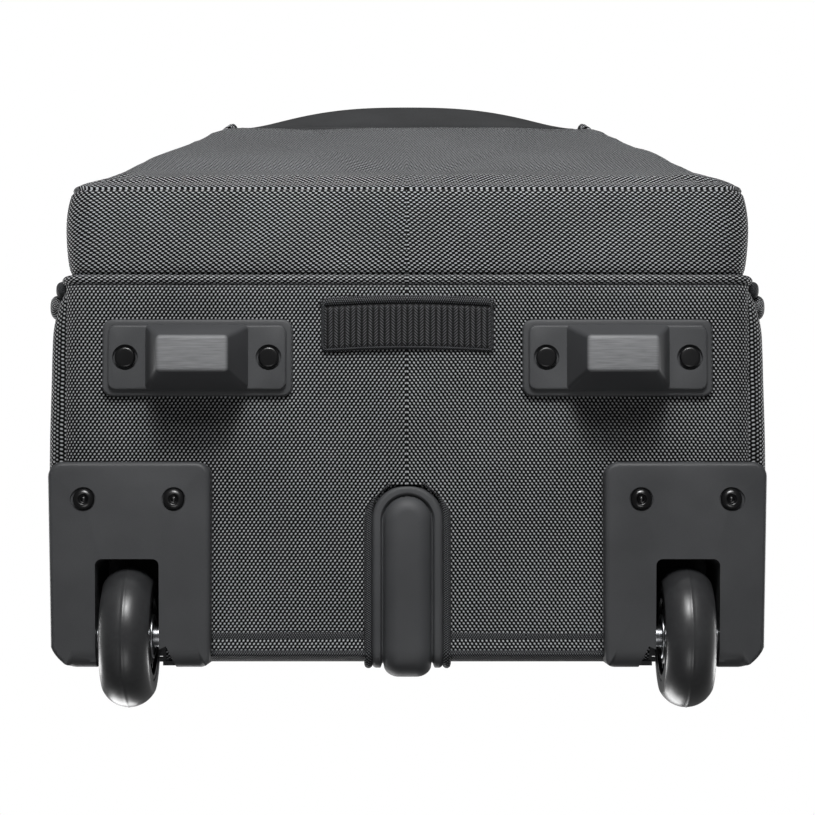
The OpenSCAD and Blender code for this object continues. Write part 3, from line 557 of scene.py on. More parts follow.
def side_panel(side):
    """side is 1 for the right and -1 for the left."""
    arc = edge_r * (math.pi / 2 - seam_angle)
    height = z_high - z_low - 2 * edge_r
    run = height + 2 * arc
    y0, y1 = y_seam + 3, y_back - 4
    size = (y1 - y0, run)

    def place(s, t):
        d = t * run
        if d < arc:
            turn = seam_angle + d / edge_r
            x, z = flat_half + edge_r * math.sin(turn), z_low + edge_r * (1 - math.cos(turn))
        elif d > arc + height:
            turn = seam_angle + (run - d) / edge_r
            x, z = flat_half + edge_r * math.sin(turn), z_high - edge_r * (1 - math.cos(turn))
        else:
            x, z = half_w, z_low + edge_r + d - arc
        y = y0 + s * (y1 - y0)
        edge = near_edge(s, t, size[0], size[1], 4)
        low = 1 - (1 - min(1, (z - z_low - 3) / 18)) ** 2
        high = 1 - (1 - min(1, (z_high - z) / 45)) ** 2
        ends = 1 - (1 - min(1, min(s, 1 - s) * (y1 - y0) / 24)) ** 2
        swell = 6.0 * low * high * ends + softness(x, y, z, 48, 1.3)
        # the cloth lies flat behind the corner guard
        guard_edge = housing_low.y + 14 + max(0, z - z_low) * 0.75
        free = max(smooth_step((z - housing_high.z) / 14), smooth_step((guard_edge - y) / 14))
        return side * (x + (swell * (1 - edge) - 1.3 * edge) * free - 1.2 * (1 - free)), y, z

    bm = sheet_mesh(70, 150, place, size)
    name = "right" if side > 0 else "left"
    piece = finish_piece(f"side_panel_cloth_{name}", bm, "case", nylon, [f"side_panel_{name}"])
    thick(piece, 3)
    return piece


def back_panel():
    w, h = 2 * half_w - 2, z_high - z_low - 8
    size = (w, h)
    z0 = z_low + 6

    def place(s, t):
        x, z = round_corners((s - 0.5) * w, z0 + t * h, w / 2, z0 + h / 2, h / 2, edge_r)
        edge = near_edge(s, t, w, h, 8)
        low = smooth_step((z - z_low - 40) / 60)
        channel = 2.6 * math.exp(-((abs(x) - 65) / 17) ** 4) * low
        stitched = sum(math.exp(-((abs(x) - line) / 1.6) ** 2) for line in (42, 88)) * 1.1 * low
        pad = 1.8 * math.exp(-(x / 36) ** 4) * smooth_step((z - 150) / 12) * (1 - smooth_step((z - 430) / 12))
        y = y_back - 0.4 + (channel + pad - stitched + softness(x, 0, z, 50, 1.1)) * (1 - edge) - 3.6 * edge
        return x, y, z

    bm = sheet_mesh(140, 150, place, size)
    cut_wells(bm, lambda middle: middle.z < 2 * wheel_r + well_gap + well_margin)
    piece = finish_piece("back_panel_cloth", bm, "case", nylon, ["back_panel"])
    thick(piece, 3)
    return piece


bottom_panel()
top_panel()
side_panel(1)
side_panel(-1)
back_panel()


# ---------------------------------------------------------------- the front cover and its pocket

def round_loop(
    name, body, w, h, r, y, radius, material, replaced, sides=12, steps=260, span=(0.0, 1.0), flat=1.0,
):
    """A fabric-covered cord sewn round an outline. span is the share of the outline that it follows."""
    length = outline_length(w, h, r) * (span[1] - span[0])

    def place(s, t):
        share = span[0] + s * (span[1] - span[0])
        x, z, nx, nz = outline_point(share, w, h, r)
        a = 2 * math.pi * t
        swell = radius * (1 + softness(x, y, z, 22, 0.05))
        return x + nx * swell * math.cos(a), y + swell * flat * math.sin(a), z_mid + z + nz * swell * math.cos(a)

    bm = sheet_mesh(steps, sides, place, (length, 2 * math.pi * radius), closed=True)
    ends = [e for e in bm.edges if e.is_boundary]
    if ends:
        bmesh.ops.holes_fill(bm, edges=ends, sides=0)
    bmesh.ops.recalc_face_normals(bm, faces=bm.faces)
    return finish_piece(name, bm, body, material, replaced)


roll_low, roll_high = box_mm("cover_roll")
roll_d = roll_high.y - roll_low.y
round_loop(
    "cover_roll_cloth", "cover", 2 * half_w - roll_d, z_high - z_low - roll_d, edge_r - roll_d / 2,
    (roll_low.y + roll_high.y) / 2, roll_d / 2, nylon_turned, ["cover_roll"], sides=14, steps=420,
)

piping_low, piping_high = box_mm("rear_piping")


def gusset():
    w, h, r = 2 * pocket_half, z_pocket_top - z_pocket, edge_r
    y0 = roll_low.y + 0.4
    depth = y0 - y_pocket
    length = outline_length(w, h, r)

    def place(s, t):
        x, z, nx, nz = outline_point(s, w, h, r)
        y = y0 - t * depth
        loose = math.sin(math.pi * t)
        swell = (2.0 + 1.8 * abs(nx)) * loose ** 0.6 + softness(x, y, z, 40, 1.5) * loose
        tuck = 1.0 * (1 - smooth_step(t * depth / 3)) + 0.5 * (1 - smooth_step((1 - t) * depth / 2))
        out = swell - tuck
        return x + nx * out, y, z_mid + z + nz * out

    bm = sheet_mesh(420, 22, place, (length, depth), closed=True)
    piece = finish_piece(
        "pocket_gusset_cloth", bm, "cover", nylon_turned,
        ["gusset_bottom", "gusset_left", "gusset_right", "gusset_top"],
    )
    thick(piece, 2.5)
    return piece


gusset()

field_half = lip_high.x - 1
field_z0 = smooth_low.z - 4
field_z1 = smooth_high.z + 4


# the flap's rounded hem, 1 mm high
hem_w = 3


def flap_rise(x, z):
    """How far the flap stands out at x and z: a rounded hem, four slopes and a flat field."""
    d = max(0, min(pocket_half - abs(x), z - z_pocket, z_pocket_top - z))
    slopes = (
        (pocket_half - abs(x)) / (pocket_half - field_half),
        (z - z_pocket) / (field_z0 - z_pocket),
        (z_pocket_top - z) / (z_pocket_top - field_z1),
        1.0,
    )
    sharp = 18
    share = -math.log(sum(math.exp(-sharp * max(0, v)) for v in slopes)) / sharp + 0.012
    return round_rise(d / hem_w) + (y_pocket - y_field - 1.0) * min(1, max(0, share))


def flap():
    w, h = 2 * pocket_half + 0.6, z_pocket_top - z_pocket + 0.6
    z0 = z_pocket - 0.3
    cz = (z_pocket + z_pocket_top) / 2

    def place(s, t):
        x, z = round_corners((s - 0.5) * w, z0 + t * h, w / 2, cz, h / 2, edge_r)
        rise = flap_rise(x, z)
        loose = smooth_step(rise / 14)
        # pull lines fan out from the middle of the lower seam
        fan = sum(math.exp(-(((x - side * (z - z_pocket) * 0.85) / 9) ** 2)) for side in (-1, 1))
        pull = 0.9 * fan * smooth_step((z - z_pocket) / 20) * (1 - smooth_step((z - z_pocket - 60) / 50))
        crease = 1.4 * math.exp(-((z - z_pocket - 26) / 9) ** 2) * (1 - (2 * x / w) ** 2)
        return x, y_pocket - 0.1 - rise - softness(x, 0, z, 38, 1.2) * loose + (crease + pull) * loose, z

    bm = sheet_mesh(150, 170, place, (w, h * 1.18), inside=point(0, y_pocket + 30, z_mid))
    piece = finish_piece("flap_cloth", bm, "flap", nylon_turned, ["front_panel"])

    def held(co):
        on_field = abs(co.x) < field_half + 18 and field_z0 - 4 < co.z < field_z1 + 4
        d = min(pocket_half - abs(co.x), co.z - z_pocket, z_pocket_top - co.z)
        return 1.0 if on_field or d < 5 else 0.0

    cloth_settle(piece, held, grow=0.008, pressure=0.4, cap=2.5)
    thick(piece, 3.5)
    return piece


flap()


def smooth_panel():
    w, h = smooth_high.x - smooth_low.x, smooth_high.z - smooth_low.z
    crown = (smooth_high.y - smooth_low.y) + 0.6
    cz = (smooth_low.z + smooth_high.z) / 2
    r = 16

    def place(s, t):
        x, z = round_corners((s - 0.5) * w, smooth_low.z + t * h, w / 2, cz, h / 2, r)
        d = min(t, 1 - t) * h
        lift = 1 - (1 - min(1, d / 62)) ** 2
        bow = 1 - abs(x / (w / 2)) ** 2.6
        return x, y_field + 1.0 - (crown * bow + 1.5) * lift - 1.0 * smooth_step(d / 3), z

    bm = sheet_mesh(90, 100, place, (w, h), inside=point(0, y_field + 60, cz))
    piece = finish_piece("smooth_panel_skin", bm, "flap", skin, ["smooth_panel"])
    thick(piece, 3)
    return piece


smooth_panel()


def lip(side):
    """A fold of the flap that stands up beside the smooth panel and curls back under its own edge."""
    inner = side * (smooth_high.x + 0.8)
    z0, z1 = lip_low.z - 6, lip_high.z + 6
    # across the fold: how far out from the panel, and how far off the field
    section = [
        (24, -13.2), (20, -9.6), (14, -4.8), (9, -0.6), (5.5, 2.2), (3.0, 3.8), (1.2, 4.0), (0.3, 3.2), (0.4, 1.6),
        (1.2, 0.2), (1.8, -0.8),
    ]

    def place(s, t):
        z = z0 + t * (z1 - z0)
        end = min(1, min(t, 1 - t) * (z1 - z0) / 16)
        shrink = round_rise(end)
        a = s * (len(section) - 1)
        i = min(len(section) - 2, int(a))
        share = a - i
        out = section[i][0] * (1 - share) + section[i + 1][0] * share
        up = section[i][1] * (1 - share) + section[i + 1][1] * share
        lean = softness(inner, 0, z, 60, 0.8) * shrink
        return inner + side * (out + lean), y_field + 0.3 - up + 3.0 * (1 - shrink), z

    bm = sheet_mesh(30, 90, place, (36, z1 - z0), inside=point(inner + side * 8, y_field + 30, z_mid))
    name = "right" if side > 0 else "left"
    piece = finish_piece(f"panel_lip_{name}", bm, "flap", nylon_turned, ["panel_lips"])
    thick(piece, 1.2)
    return piece


lip(1)
lip(-1)


# ---------------------------------------------------------------- piping, zips and their covers

def inside_any(x, y, z, boxes):
    return any(a[0] < x < b[0] and a[1] < y < b[1] and a[2] < z < b[2] for a, b in boxes)


def cut_away(bm, boxes):
    """Removes the faces whose middles lie in any of the boxes."""
    gone = [f for f in bm.faces if inside_any(*(f.calc_center_median() / MM), boxes)]
    bmesh.ops.delete(bm, geom=gone, context="FACES")


def rear_piping():
    r = (piping_high.y - piping_low.y) / 2
    w, h = piping_high.x - piping_low.x - 2 * r, piping_high.z - piping_low.z - 2 * r
    y = (piping_low.y + piping_high.y) / 2

    def place(s, t):
        x, z, nx, nz = outline_point(s, w, h, edge_r + r)
        a = 2 * math.pi * t
        return x + nx * r * math.cos(a), y + r * math.sin(a), z_mid + z + nz * r * math.cos(a)

    bm = sheet_mesh(460, 12, place, (outline_length(w, h, edge_r), 11), closed=True)
    dock_low, dock_high = box_mm("handle_dock")
    gaps = [
        ((housing_low.x, 0, 0), (400, 400, housing_high.z)),
        ((-400, 0, 0), (-housing_low.x, 400, housing_high.z)),
        ((-guard_high.x - 1, 0, 0), (guard_high.x + 1, 400, z_low + 3)),
        ((dock_low.x, 0, z_high - 3), (dock_high.x, 400, 900)),
    ]
    cut_away(bm, gaps)
    bmesh.ops.holes_fill(bm, edges=[e for e in bm.edges if e.is_boundary], sides=0)
    bmesh.ops.recalc_face_normals(bm, faces=bm.faces)
    finish_piece("rear_piping_cord", bm, "case", tape, ["rear_piping"])

    def flange_place(s, t):
        """The cord's own tape, from under the panels' edges out to the cord."""
        x, z, nx, nz = outline_point(s, w, h, edge_r + r)
        inset = flange_inset * (1 - t)
        return x - nx * inset, y - flange_w * (1 - t), z_mid + z - nz * inset

    bm = sheet_mesh(460, 4, flange_place, (outline_length(w, h, edge_r), flange_w), closed=True)
    cut_away(bm, gaps)
    thick(finish_piece("rear_piping_flange", bm, "case", nylon, ["rear_piping"]), 1.0, 0)


# the piping's tape reaches this far forward and inward from the cord
flange_w, flange_inset = 14, 3.2
rear_piping()


def edge_binding(x0, x1, name):
    """A tape folded over the bottom back edge between two mouldings."""
    r = 12.6
    straight, bend = 3, math.radians(88)

    def place(s, t):
        x = x0 + s * (x1 - x0)
        d = t * (straight + r * bend + 7)
        turn = min(bend, max(0, d - straight) / r)
        past = max(0, d - straight - r * bend)
        y = y_back - 12 - straight + min(d, straight) + r * math.sin(turn)
        z = z_low - 0.6 + r * (1 - math.cos(turn)) + past
        rim = 0.8 * (1 - smooth_step(min(t, 1 - t) * 34 / 1.5))
        return x, y - rim * math.sin(turn), z + rim * math.cos(turn)

    bm = sheet_mesh(60, 40, place, (x1 - x0, straight + r * bend + 7))
    thick(finish_piece(name, bm, "case", tape, ["rear_piping"]), 0.8)


edge_binding(guard_high.x + 2, housing_low.x + 1, "edge_binding_right")
edge_binding(-housing_low.x - 1, -guard_high.x - 2, "edge_binding_left")


def zip_band(name, body, node, below):
    """A closed zip seen from its edge: coil teeth in a groove between two tapes, left out below a level."""
    low, high = box_mm(node)
    w, h = high.x - low.x, 2 * (high.z - z_mid)
    deep = high.y - low.y
    length = outline_length(w, h, edge_r - 2)

    def place(s, t):
        x, z, nx, nz = outline_point(s, w, h, edge_r - 2)
        groove = 0.8 * math.exp(-((t - 0.5) / 0.16) ** 2)
        teeth = 0.25 * math.sin(2 * math.pi * s * length / 1.6) * math.exp(-((t - 0.5) / 0.12) ** 2)
        return x - nx * (groove - teeth), low.y + t * deep, z_mid + z - nz * (groove - teeth)

    bm = sheet_mesh(1400, 8, place, (length, deep), closed=True)
    cut_away(bm, [((-400, -400, -400), (400, 400, below))])
    thick(finish_piece(name, bm, body, zip_coil, [node]), 1.8)


zip_band("main_zip_coil", "case", "main_zip", z_low + edge_r)
zip_band("pocket_zip_coil", "cover", "pocket_zip", z_pocket + edge_r)


def cushion(name, body, material, replaced, centre, radii, power=2.6):
    """A stuffed fabric bump."""
    def place(s, t):
        a, b = 2 * math.pi * s, math.pi * (t - 0.5)
        def bend(v):
            return math.copysign(abs(v) ** (2 / power), v)
        ring = bend(math.cos(b))
        return (
            centre[0] + radii[0] * ring * bend(math.cos(a)),
            centre[1] + radii[1] * ring * bend(math.sin(a)),
            centre[2] + radii[2] * bend(math.sin(b)),
        )

    bm = sheet_mesh(40, 24, place, (2 * math.pi * radii[1], 2 * radii[2]), closed=True, inside=point(*centre))
    bmesh.ops.recalc_face_normals(bm, faces=bm.faces)
    return finish_piece(name, bm, body, material, replaced)


garage_low, garage_high = box_mm("zip_garages")
for side, name in ((1, "right"), (-1, "left")):
    mid_y, mid_z = (garage_low.y + garage_high.y) / 2, (garage_low.z + garage_high.z) / 2
    cushion(
        f"zip_garage_{name}", "case", nylon_turned, ["zip_garages"],
        (side * (half_w + 2.8), mid_y + 2.5, mid_z - 4), (5.2, 6.5, 14),
    )
    cushion(
        f"zip_stop_{name}", "case", tape, ["zip_garages"],
        (side * (half_w - 0.5), mid_y - 5.6, mid_z - 14), (4.4, 4.6, 9),
    )


# ---------------------------------------------------------------- soft parts on top and inside

def carry_handle():
    """A padded strap: flat webbing legs that swell into a round, wrapped bar."""
    pin_low, pin_high = box_mm("handle_anchors")
    low, high = box_mm("carry_handle")
    bar_r = (high.z - low.z) / 2
    leg_x = high.x - 6.4
    pivot_y = (pin_low.y + pin_high.y) / 2
    bar_y, bar_z = low.y + bar_r, high.z - bar_r
    pivot_z = bar_z - 0.5
    bend = 16
    leg = pivot_y - bar_y - bend
    arc = math.pi * bend / 2
    bar = 2 * (leg_x - bend)
    total = 2 * leg + 2 * arc + bar

    def path(d):
        side = -1
        if d > total / 2:
            side, d = 1, total - d
        if d < leg:
            return side * leg_x, pivot_y - d, 0.0, side
        if d < leg + arc:
            a = (d - leg) / bend
            return side * (leg_x - bend * (1 - math.cos(a))), bar_y + bend * (1 - math.sin(a)), a, side
        return side * (leg_x - bend - (d - leg - arc)), bar_y, math.pi / 2, side

    def place(s, t):
        x, y, turn, side = path(t * total)
        d = min(t, 1 - t) * total
        round_share = smooth_step((d - leg * 0.6) / (arc * 0.9))
        a, b = 6.4 + 0.4 * round_share, 2.2 + (bar_r - 2.4) * round_share
        seam = 1 - 0.06 * math.exp(-((d - leg - arc * 0.5) / 2) ** 2)
        angle = 2 * math.pi * s
        power = 0.6 + 0.4 * round_share
        across = math.copysign(abs(math.cos(angle)) ** power, math.cos(angle)) * a * seam
        up = math.copysign(abs(math.sin(angle)) ** power, math.sin(angle)) * b * seam
        sag = -0.8 * math.cos(math.pi * x / (2 * leg_x))
        z = pivot_z + (bar_z - pivot_z) * round_share + sag * round_share
        return x + side * across * math.cos(turn), y - across * math.sin(turn), z + up

    bm = sheet_mesh(28, 170, place, (42, total), closed=True, inside=point(0, bar_y, bar_z - 200))
    bmesh.ops.holes_fill(bm, edges=[e for e in bm.edges if e.is_boundary], sides=0)
    bmesh.ops.recalc_face_normals(bm, faces=bm.faces)
    finish_piece("carry_handle_strap", bm, "carry", strap_tape, ["carry_handle"])
    pins = []
    for side in (-1, 1):
        for reach, radius, segments in ((13, 2.5, 24), (6.3, 4.5, 32)):
            ends = [(side * leg_x + end * reach, pivot_y, carry_pivot_z) for end in (-1, 1)]
            pins.append(rod(*ends, radius, "X", segments))
    finish_piece("carry_handle_pins", merged(pins), "carry", abs_black, ["carry_handle"])


def laptop_sleeve():
    low, high = box_mm("laptop_sleeve")
    r = 8
    wide, deep = high.x - low.x, high.y - low.y
    straight = (deep - r, math.pi * r / 2, wide - 2 * r, math.pi * r / 2, deep - r)
    total = sum(straight)
    height = high.z - low.z

    def place(s, t):
        d = s * total
        if d > total / 2:
            side, d = 1, total - d
        else:
            side = -1
        if d < straight[0]:
            x, y, nx, ny = wide / 2, high.y - d, 1, 0
        elif d < straight[0] + straight[1]:
            a = (d - straight[0]) / r
            x, y = wide / 2 - r + r * math.cos(a), low.y + r - r * math.sin(a)
            nx, ny = math.cos(a), -math.sin(a)
        else:
            x, y, nx, ny = wide / 2 - r - (d - straight[0] - straight[1]), low.y, 0, -1
        z = low.z + t * height
        edge = near_edge(s, t, total, height, 7)
        quilt = 1.6 * abs(math.sin(math.pi * t * 5)) ** 0.5 + softness(side * x, y, z, 45, 0.8)
        out = quilt * (1 - edge) - 1.5 * edge
        return side * (x + nx * out), y + ny * out, z

    bm = sheet_mesh(150, 120, place, (total, height), inside=point(0, high.y, z_mid))
    piece = finish_piece("laptop_sleeve_pad", bm, "case", lining_cloth, ["laptop_sleeve"])
    thick(piece, 2.6)


def flat_panel(name, body, node, material, bulge, t_mm, corner, lines=0):
    """An upright padded panel, fullest in its middle, with stitched lines across it."""
    low, high = box_mm(node)
    w, h = high.x - low.x, high.z - low.z
    cz = (low.z + high.z) / 2

    def place(s, t):
        x, z = round_corners((s - 0.5) * w, low.z + t * h, w / 2, cz, h / 2, corner)
        edge = near_edge(s, t, w, h, 6)
        stitched = sum(math.exp(-((x - (i - (lines - 1) / 2) * w / (lines + 1)) / 1.5) ** 2) for i in range(lines))
        out = (bulge * (1 - (2 * x / w) ** 4) + softness(x, 3, z, 45, 0.8) - 1.0 * stitched) * (1 - edge) - 0.6 * edge
        return x, low.y - out, z

    bm = sheet_mesh(110, 120, place, (w, h), inside=point(0, high.y + 40, z_mid))
    return thick(finish_piece(name, bm, body, material, [node]), t_mm)


# ---------------------------------------------------------------- mouldings

def block_mesh(low, high):
    bm = bmesh.new()
    bmesh.ops.create_cube(bm, size=1)
    low, high = Vector(low), Vector(high)
    bmesh.ops.scale(bm, vec=(high - low) * MM, verts=bm.verts)
    bmesh.ops.translate(bm, vec=(high + low) / 2 * MM, verts=bm.verts)
    return bm


def bevel(bm, edges, radius, segments=6):
    bmesh.ops.bevel(
        bm, geom=list(edges), offset=radius * MM, affect="EDGES", segments=segments, profile=0.5, material=-1,
    )


def upright(edge):
    a, b = edge.verts
    return abs(a.co.z - b.co.z) > 2 * (abs(a.co.x - b.co.x) + abs(a.co.y - b.co.y))


def flat_at(bm, z):
    """The edges that lie at one height, in millimetres."""
    return [e for e in bm.edges if all(abs(v.co.z - z * MM) < 0.02 * MM for v in e.verts)]


def plain_object(name, bm):
    mesh = bpy.data.meshes.new(name)
    bm.to_mesh(mesh)
    bm.free()
    made = bpy.data.objects.new(name, mesh)
    bpy.context.scene.collection.objects.link(made)
    return made


def combine(base, others):
    """Joins or cuts solids: others is a list of (operation, object). The result is a bmesh, and all are removed."""
    for operation, other in others:
        modifier = base.modifiers.new("cut", "BOOLEAN")
        modifier.operation = operation
        modifier.object = other
        modifier.solver = "EXACT"
    bpy.context.view_layer.update()
    evaluated = base.evaluated_get(bpy.context.evaluated_depsgraph_get())
    bm = bmesh.new()
    bm.from_mesh(evaluated.to_mesh())
    evaluated.to_mesh_clear()
    for made in [base] + [other for _, other in others]:
        bpy.data.objects.remove(made)
    bmesh.ops.remove_doubles(bm, verts=bm.verts, dist=0.005 * MM)
    bmesh.ops.dissolve_degenerate(bm, edges=bm.edges, dist=0.005 * MM)
    return bm


def rod(low, high, radius, axis="Z", segments=48, radius_end=None):
    """A round bar whose middle line runs along an axis from one point to the other."""
    bm = bmesh.new()
    low, high = Vector(low), Vector(high)
    bmesh.ops.create_cone(
        bm, cap_ends=True, segments=segments, radius1=radius * MM,
        radius2=(radius if radius_end is None else radius_end) * MM, depth=(high - low).length * MM,
    )
    if axis == "X":
        bmesh.ops.rotate(bm, verts=bm.verts, matrix=Matrix.Rotation(math.pi / 2, 3, "Y"))
    bmesh.ops.translate(bm, vec=(low + high) / 2 * MM, verts=bm.verts)
    return bm


def mirrored(bm):
    bmesh.ops.scale(bm, vec=(-1, 1, 1), verts=bm.verts)
    bmesh.ops.recalc_face_normals(bm, faces=bm.faces)
    return bm


def housing_mesh():
    low, high = housing_low, housing_high
    drop_z = low.z
    outer = block_mesh(low, high)
    edges = [e for e in outer.edges if upright(e)]
    front = [e for e in edges if e.verts[0].co.y / MM < low.y + 1]
    bevel(outer, front, 7, 8)
    edges = [e for e in outer.edges if upright(e)]
    corner = [
        e for e in edges
        if min(v.co.x / MM for v in e.verts) > high.x - 1 and min(v.co.y / MM for v in e.verts) > high.y - 1
    ]
    bevel(outer, corner, 10, 8)
    edges = [e for e in outer.edges if upright(e)]
    inner = [
        e for e in edges
        if max(v.co.x / MM for v in e.verts) < low.x + 1 and min(v.co.y / MM for v in e.verts) > high.y - 1
    ]
    bevel(outer, inner, 5, 6)
    rear = [e for e in flat_at(outer, drop_z) if min(v.co.y / MM for v in e.verts) > high.y - 1]
    bevel(outer, rear, 9, 8)
    bevel(outer, [e for e in flat_at(outer, drop_z) if e.calc_face_angle(0) > 0.5], 2.4, 5)
    wall, liner_t = 2.4, 2.6
    inside = block_mesh((low.x + wall, low.y + wall, z_low), (half_w + 0.1, y_back + 0.1, high.z + 5))
    # the guard's upper edge falls away towards the front
    slope = block_mesh((low.x - 20, low.y - 20, z_low + 1.5), (high.x + 20, low.y + 16, high.z + 9))
    for v in slope.verts:
        if v.co.z / MM > high.z and v.co.y / MM > low.y:
            v.co.y = (wheel_mid.y - wheel_r) * MM
    liner = block_mesh(
        (wheel_mid.x - well_half - liner_t, wheel_mid.y - wheel_r - well_gap - liner_t, drop_z + 1.5),
        (wheel_mid.x + well_half + liner_t, y_back - 0.5, 2 * wheel_r + well_gap + liner_t),
    )
    well = block_mesh(
        (wheel_mid.x - well_half, wheel_mid.y - wheel_r - well_gap, drop_z - 8),
        (wheel_mid.x + well_half, high.y + 20, 2 * wheel_r + well_gap),
    )
    well_front = [e for e in well.edges if upright(e) and e.verts[0].co.y / MM < wheel_mid.y]
    bevel(well, well_front, 3.2, 6)
    # the well's inner wall is cut back at its lower end
    relief = block_mesh((wheel_mid.x - 19.5, high.y - 9, drop_z - 8), (wheel_mid.x - 10, high.y + 20, z_low + 8))
    bmesh.ops.rotate(
        relief, cent=point(wheel_mid.x - well_half, high.y - 9, 0), verts=relief.verts,
        matrix=Matrix.Rotation(math.radians(24), 3, "Z"),
    )
    parts = [
        ("DIFFERENCE", plain_object("inside", inside)),
        ("DIFFERENCE", plain_object("slope", slope)),
        ("UNION", plain_object("liner", liner)),
        ("DIFFERENCE", plain_object("well", well)),
        ("DIFFERENCE", plain_object("relief", relief)),
    ]
    for x, y in screw_places:
        seat = rod((x, y, drop_z - 3), (x, y, drop_z + 1.2), 5.9, segments=40)
        parts.append(("DIFFERENCE", plain_object("seat", seat)))
    bm = combine(plain_object("housing", outer), parts)
    # the outer wall is bowed: fullest over the wheel's front half and drawn in towards both ends
    for v in bm.verts:
        share = smooth_step((v.co.x / MM - wheel_mid.x - 18) / 14)
        front = 1 - smooth_step((v.co.y / MM - low.y) / 26)
        rear = smooth_step((v.co.y / MM - high.y + 26) / 26) ** 1.5
        v.co.x -= share * (1.6 * front + 5.4 * rear - 1.4) * MM
        # its underside curves up towards the back
        under = min(1, max(0, (z_low - 1 - v.co.z / MM) / (z_low - 1 - drop_z)))
        v.co.z += 5.5 * under * max(0, (v.co.y / MM - 96) / (high.y - 96)) ** 2 * MM
    return bm


screws_low, screws_high = box_mm("housing_screws")
screw_r = 5.3
screw_y = (screws_low.y + screws_high.y) / 2
screw_x1 = screws_high.x - screw_r
screw_x0 = housing_low.x + housing_high.x - screw_x1
screw_places = [(screw_x0, screw_y), (screw_x1, screw_y)]

for side in ("right", "left"):
    shape = housing_mesh()
    if side == "left":
        mirrored(shape)
    piece = finish_piece(
        f"wheel_housing_moulding_{side}", shape, "case", abs_grey, [f"wheel_housing_{side}"],
    )
    rounded_edges(piece, 0.7, 2, 50)


def turned_mesh(profile, steps=64):
    """A turned solid about Z from (radius, height) points in millimetres, closed into a ring or onto the axis."""
    bm = bmesh.new()
    verts = [bm.verts.new(point(r, 0, z)) for r, z in profile]
    edges = [bm.edges.new(pair) for pair in zip(verts, verts[1:])]
    bmesh.ops.spin(
        bm, geom=verts + edges, cent=(0, 0, 0), axis=(0, 0, 1), dvec=(0, 0, 0), angle=2 * math.pi, steps=steps,
        use_merge=True,
    )
    bmesh.ops.remove_doubles(bm, verts=bm.verts, dist=0.005 * MM)
    bmesh.ops.recalc_face_normals(bm, faces=bm.faces)
    return bm


def arc_points(cx, cy, r, start, end, count):
    """Points of an arc in degrees."""
    step = (end - start) / count
    return [
        (cx + r * math.cos(math.radians(start + i * step)), cy + r * math.sin(math.radians(start + i * step)))
        for i in range(count + 1)
    ]


def dome_screw_mesh(head_r, height, socket_r, socket_depth):
    """A domed head with a rounded rim and a socket, face up."""
    profile = [(0, height - socket_depth), (socket_r * 0.55, height - socket_depth)]
    profile += [(socket_r, height - socket_depth * 0.4), (socket_r + 0.25, height - 0.35), (socket_r + 0.7, height)]
    profile += arc_points(head_r - height * 0.95, 0, height * 0.95, 78, 0, 8)
    profile += [(head_r - 0.4, -0.8), (0, -0.8)]
    return turned_mesh(profile, 48)


def facing_down(bm, x, y, z):
    bmesh.ops.rotate(bm, verts=bm.verts, matrix=Matrix.Rotation(math.pi, 3, "X"))
    bmesh.ops.translate(bm, vec=point(x, y, z), verts=bm.verts)
    return bm


def merged(meshes):
    """Joins several bmeshes into one."""
    whole = bmesh.new()
    for part in meshes:
        mesh = bpy.data.meshes.new("part")
        part.to_mesh(mesh)
        part.free()
        whole.from_mesh(mesh)
        bpy.data.meshes.remove(mesh)
    return whole


def housing_screws():
    heads = []
    for side in (-1, 1):
        for x, y in screw_places:
            heads.append(facing_down(dome_screw_mesh(screw_r, 2.6, 2.2, 1.7), side * x, y, housing_low.z + 0.6))
            drive = rod((side * x, y, housing_low.z - 0.6), (side * x, y, housing_low.z + 0.9), 1.9, segments=6)
            heads.append(drive)
    finish_piece("housing_screw_heads", merged(heads), "case", oxide_black, ["housing_screws"])


housing_screws()


# from a foot's middle to each rivet
rivet_reach = 35.75


def bridge_foot(side):
    centre = (foot_low + foot_high) / 2
    cx, cy = centre.x, centre.y
    half_l, half_b = (foot_high.x - foot_low.x) / 2, (foot_high.y - foot_low.y) / 2
    flange = block_mesh((cx - half_l, cy - half_b, z_low - 3), (cx + half_l, cy + half_b, z_low + 0.4))
    bevel(flange, [e for e in flange.edges if upright(e)], 5, 6)
    bevel(flange, flat_at(flange, z_low - 3), 1.2, 3)
    table = block_mesh((cx - half_l + 3, cy - half_b + 3, z_low - 5.5), (cx + half_l - 3, cy + half_b - 3, z_low - 1))
    bevel(table, [e for e in table.edges if upright(e)], 4, 6)
    bevel(table, flat_at(table, z_low - 5.5), 1.1, 3)
    bridge = block_mesh((cx - 26, cy - 16.5, 0), (cx + 26, cy + 16.5, z_low - 4))
    for v in bridge.verts:
        if v.co.z < 1 * MM:
            v.co.x = (cx + (v.co.x / MM - cx) * 17.5 / 26) * MM
            v.co.y = (cy + (v.co.y / MM - cy) * 9 / 16.5) * MM
    hidden = flat_at(bridge, z_low - 4)
    bevel(bridge, [e for e in bridge.edges if e not in hidden], 2.2, 5)
    parts = [("UNION", plain_object("table", table)), ("UNION", plain_object("bridge", bridge))]
    for s in (-1, 1):
        x = cx + s * rivet_reach
        seat = rod((x, cy, z_low - 9), (x, cy, z_low - 3.5), 6.4, segments=40)
        parts.append(("DIFFERENCE", plain_object("seat", seat)))
    bm = combine(plain_object("flange", flange), parts)
    if side == "left":
        mirrored(bm)
    piece = finish_piece(f"bridge_foot_{side}", bm, "case", foot_abs, [f"foot_{side}"])
    rounded_edges(piece, 0.5, 2, 40)


bridge_foot("right")
bridge_foot("left")


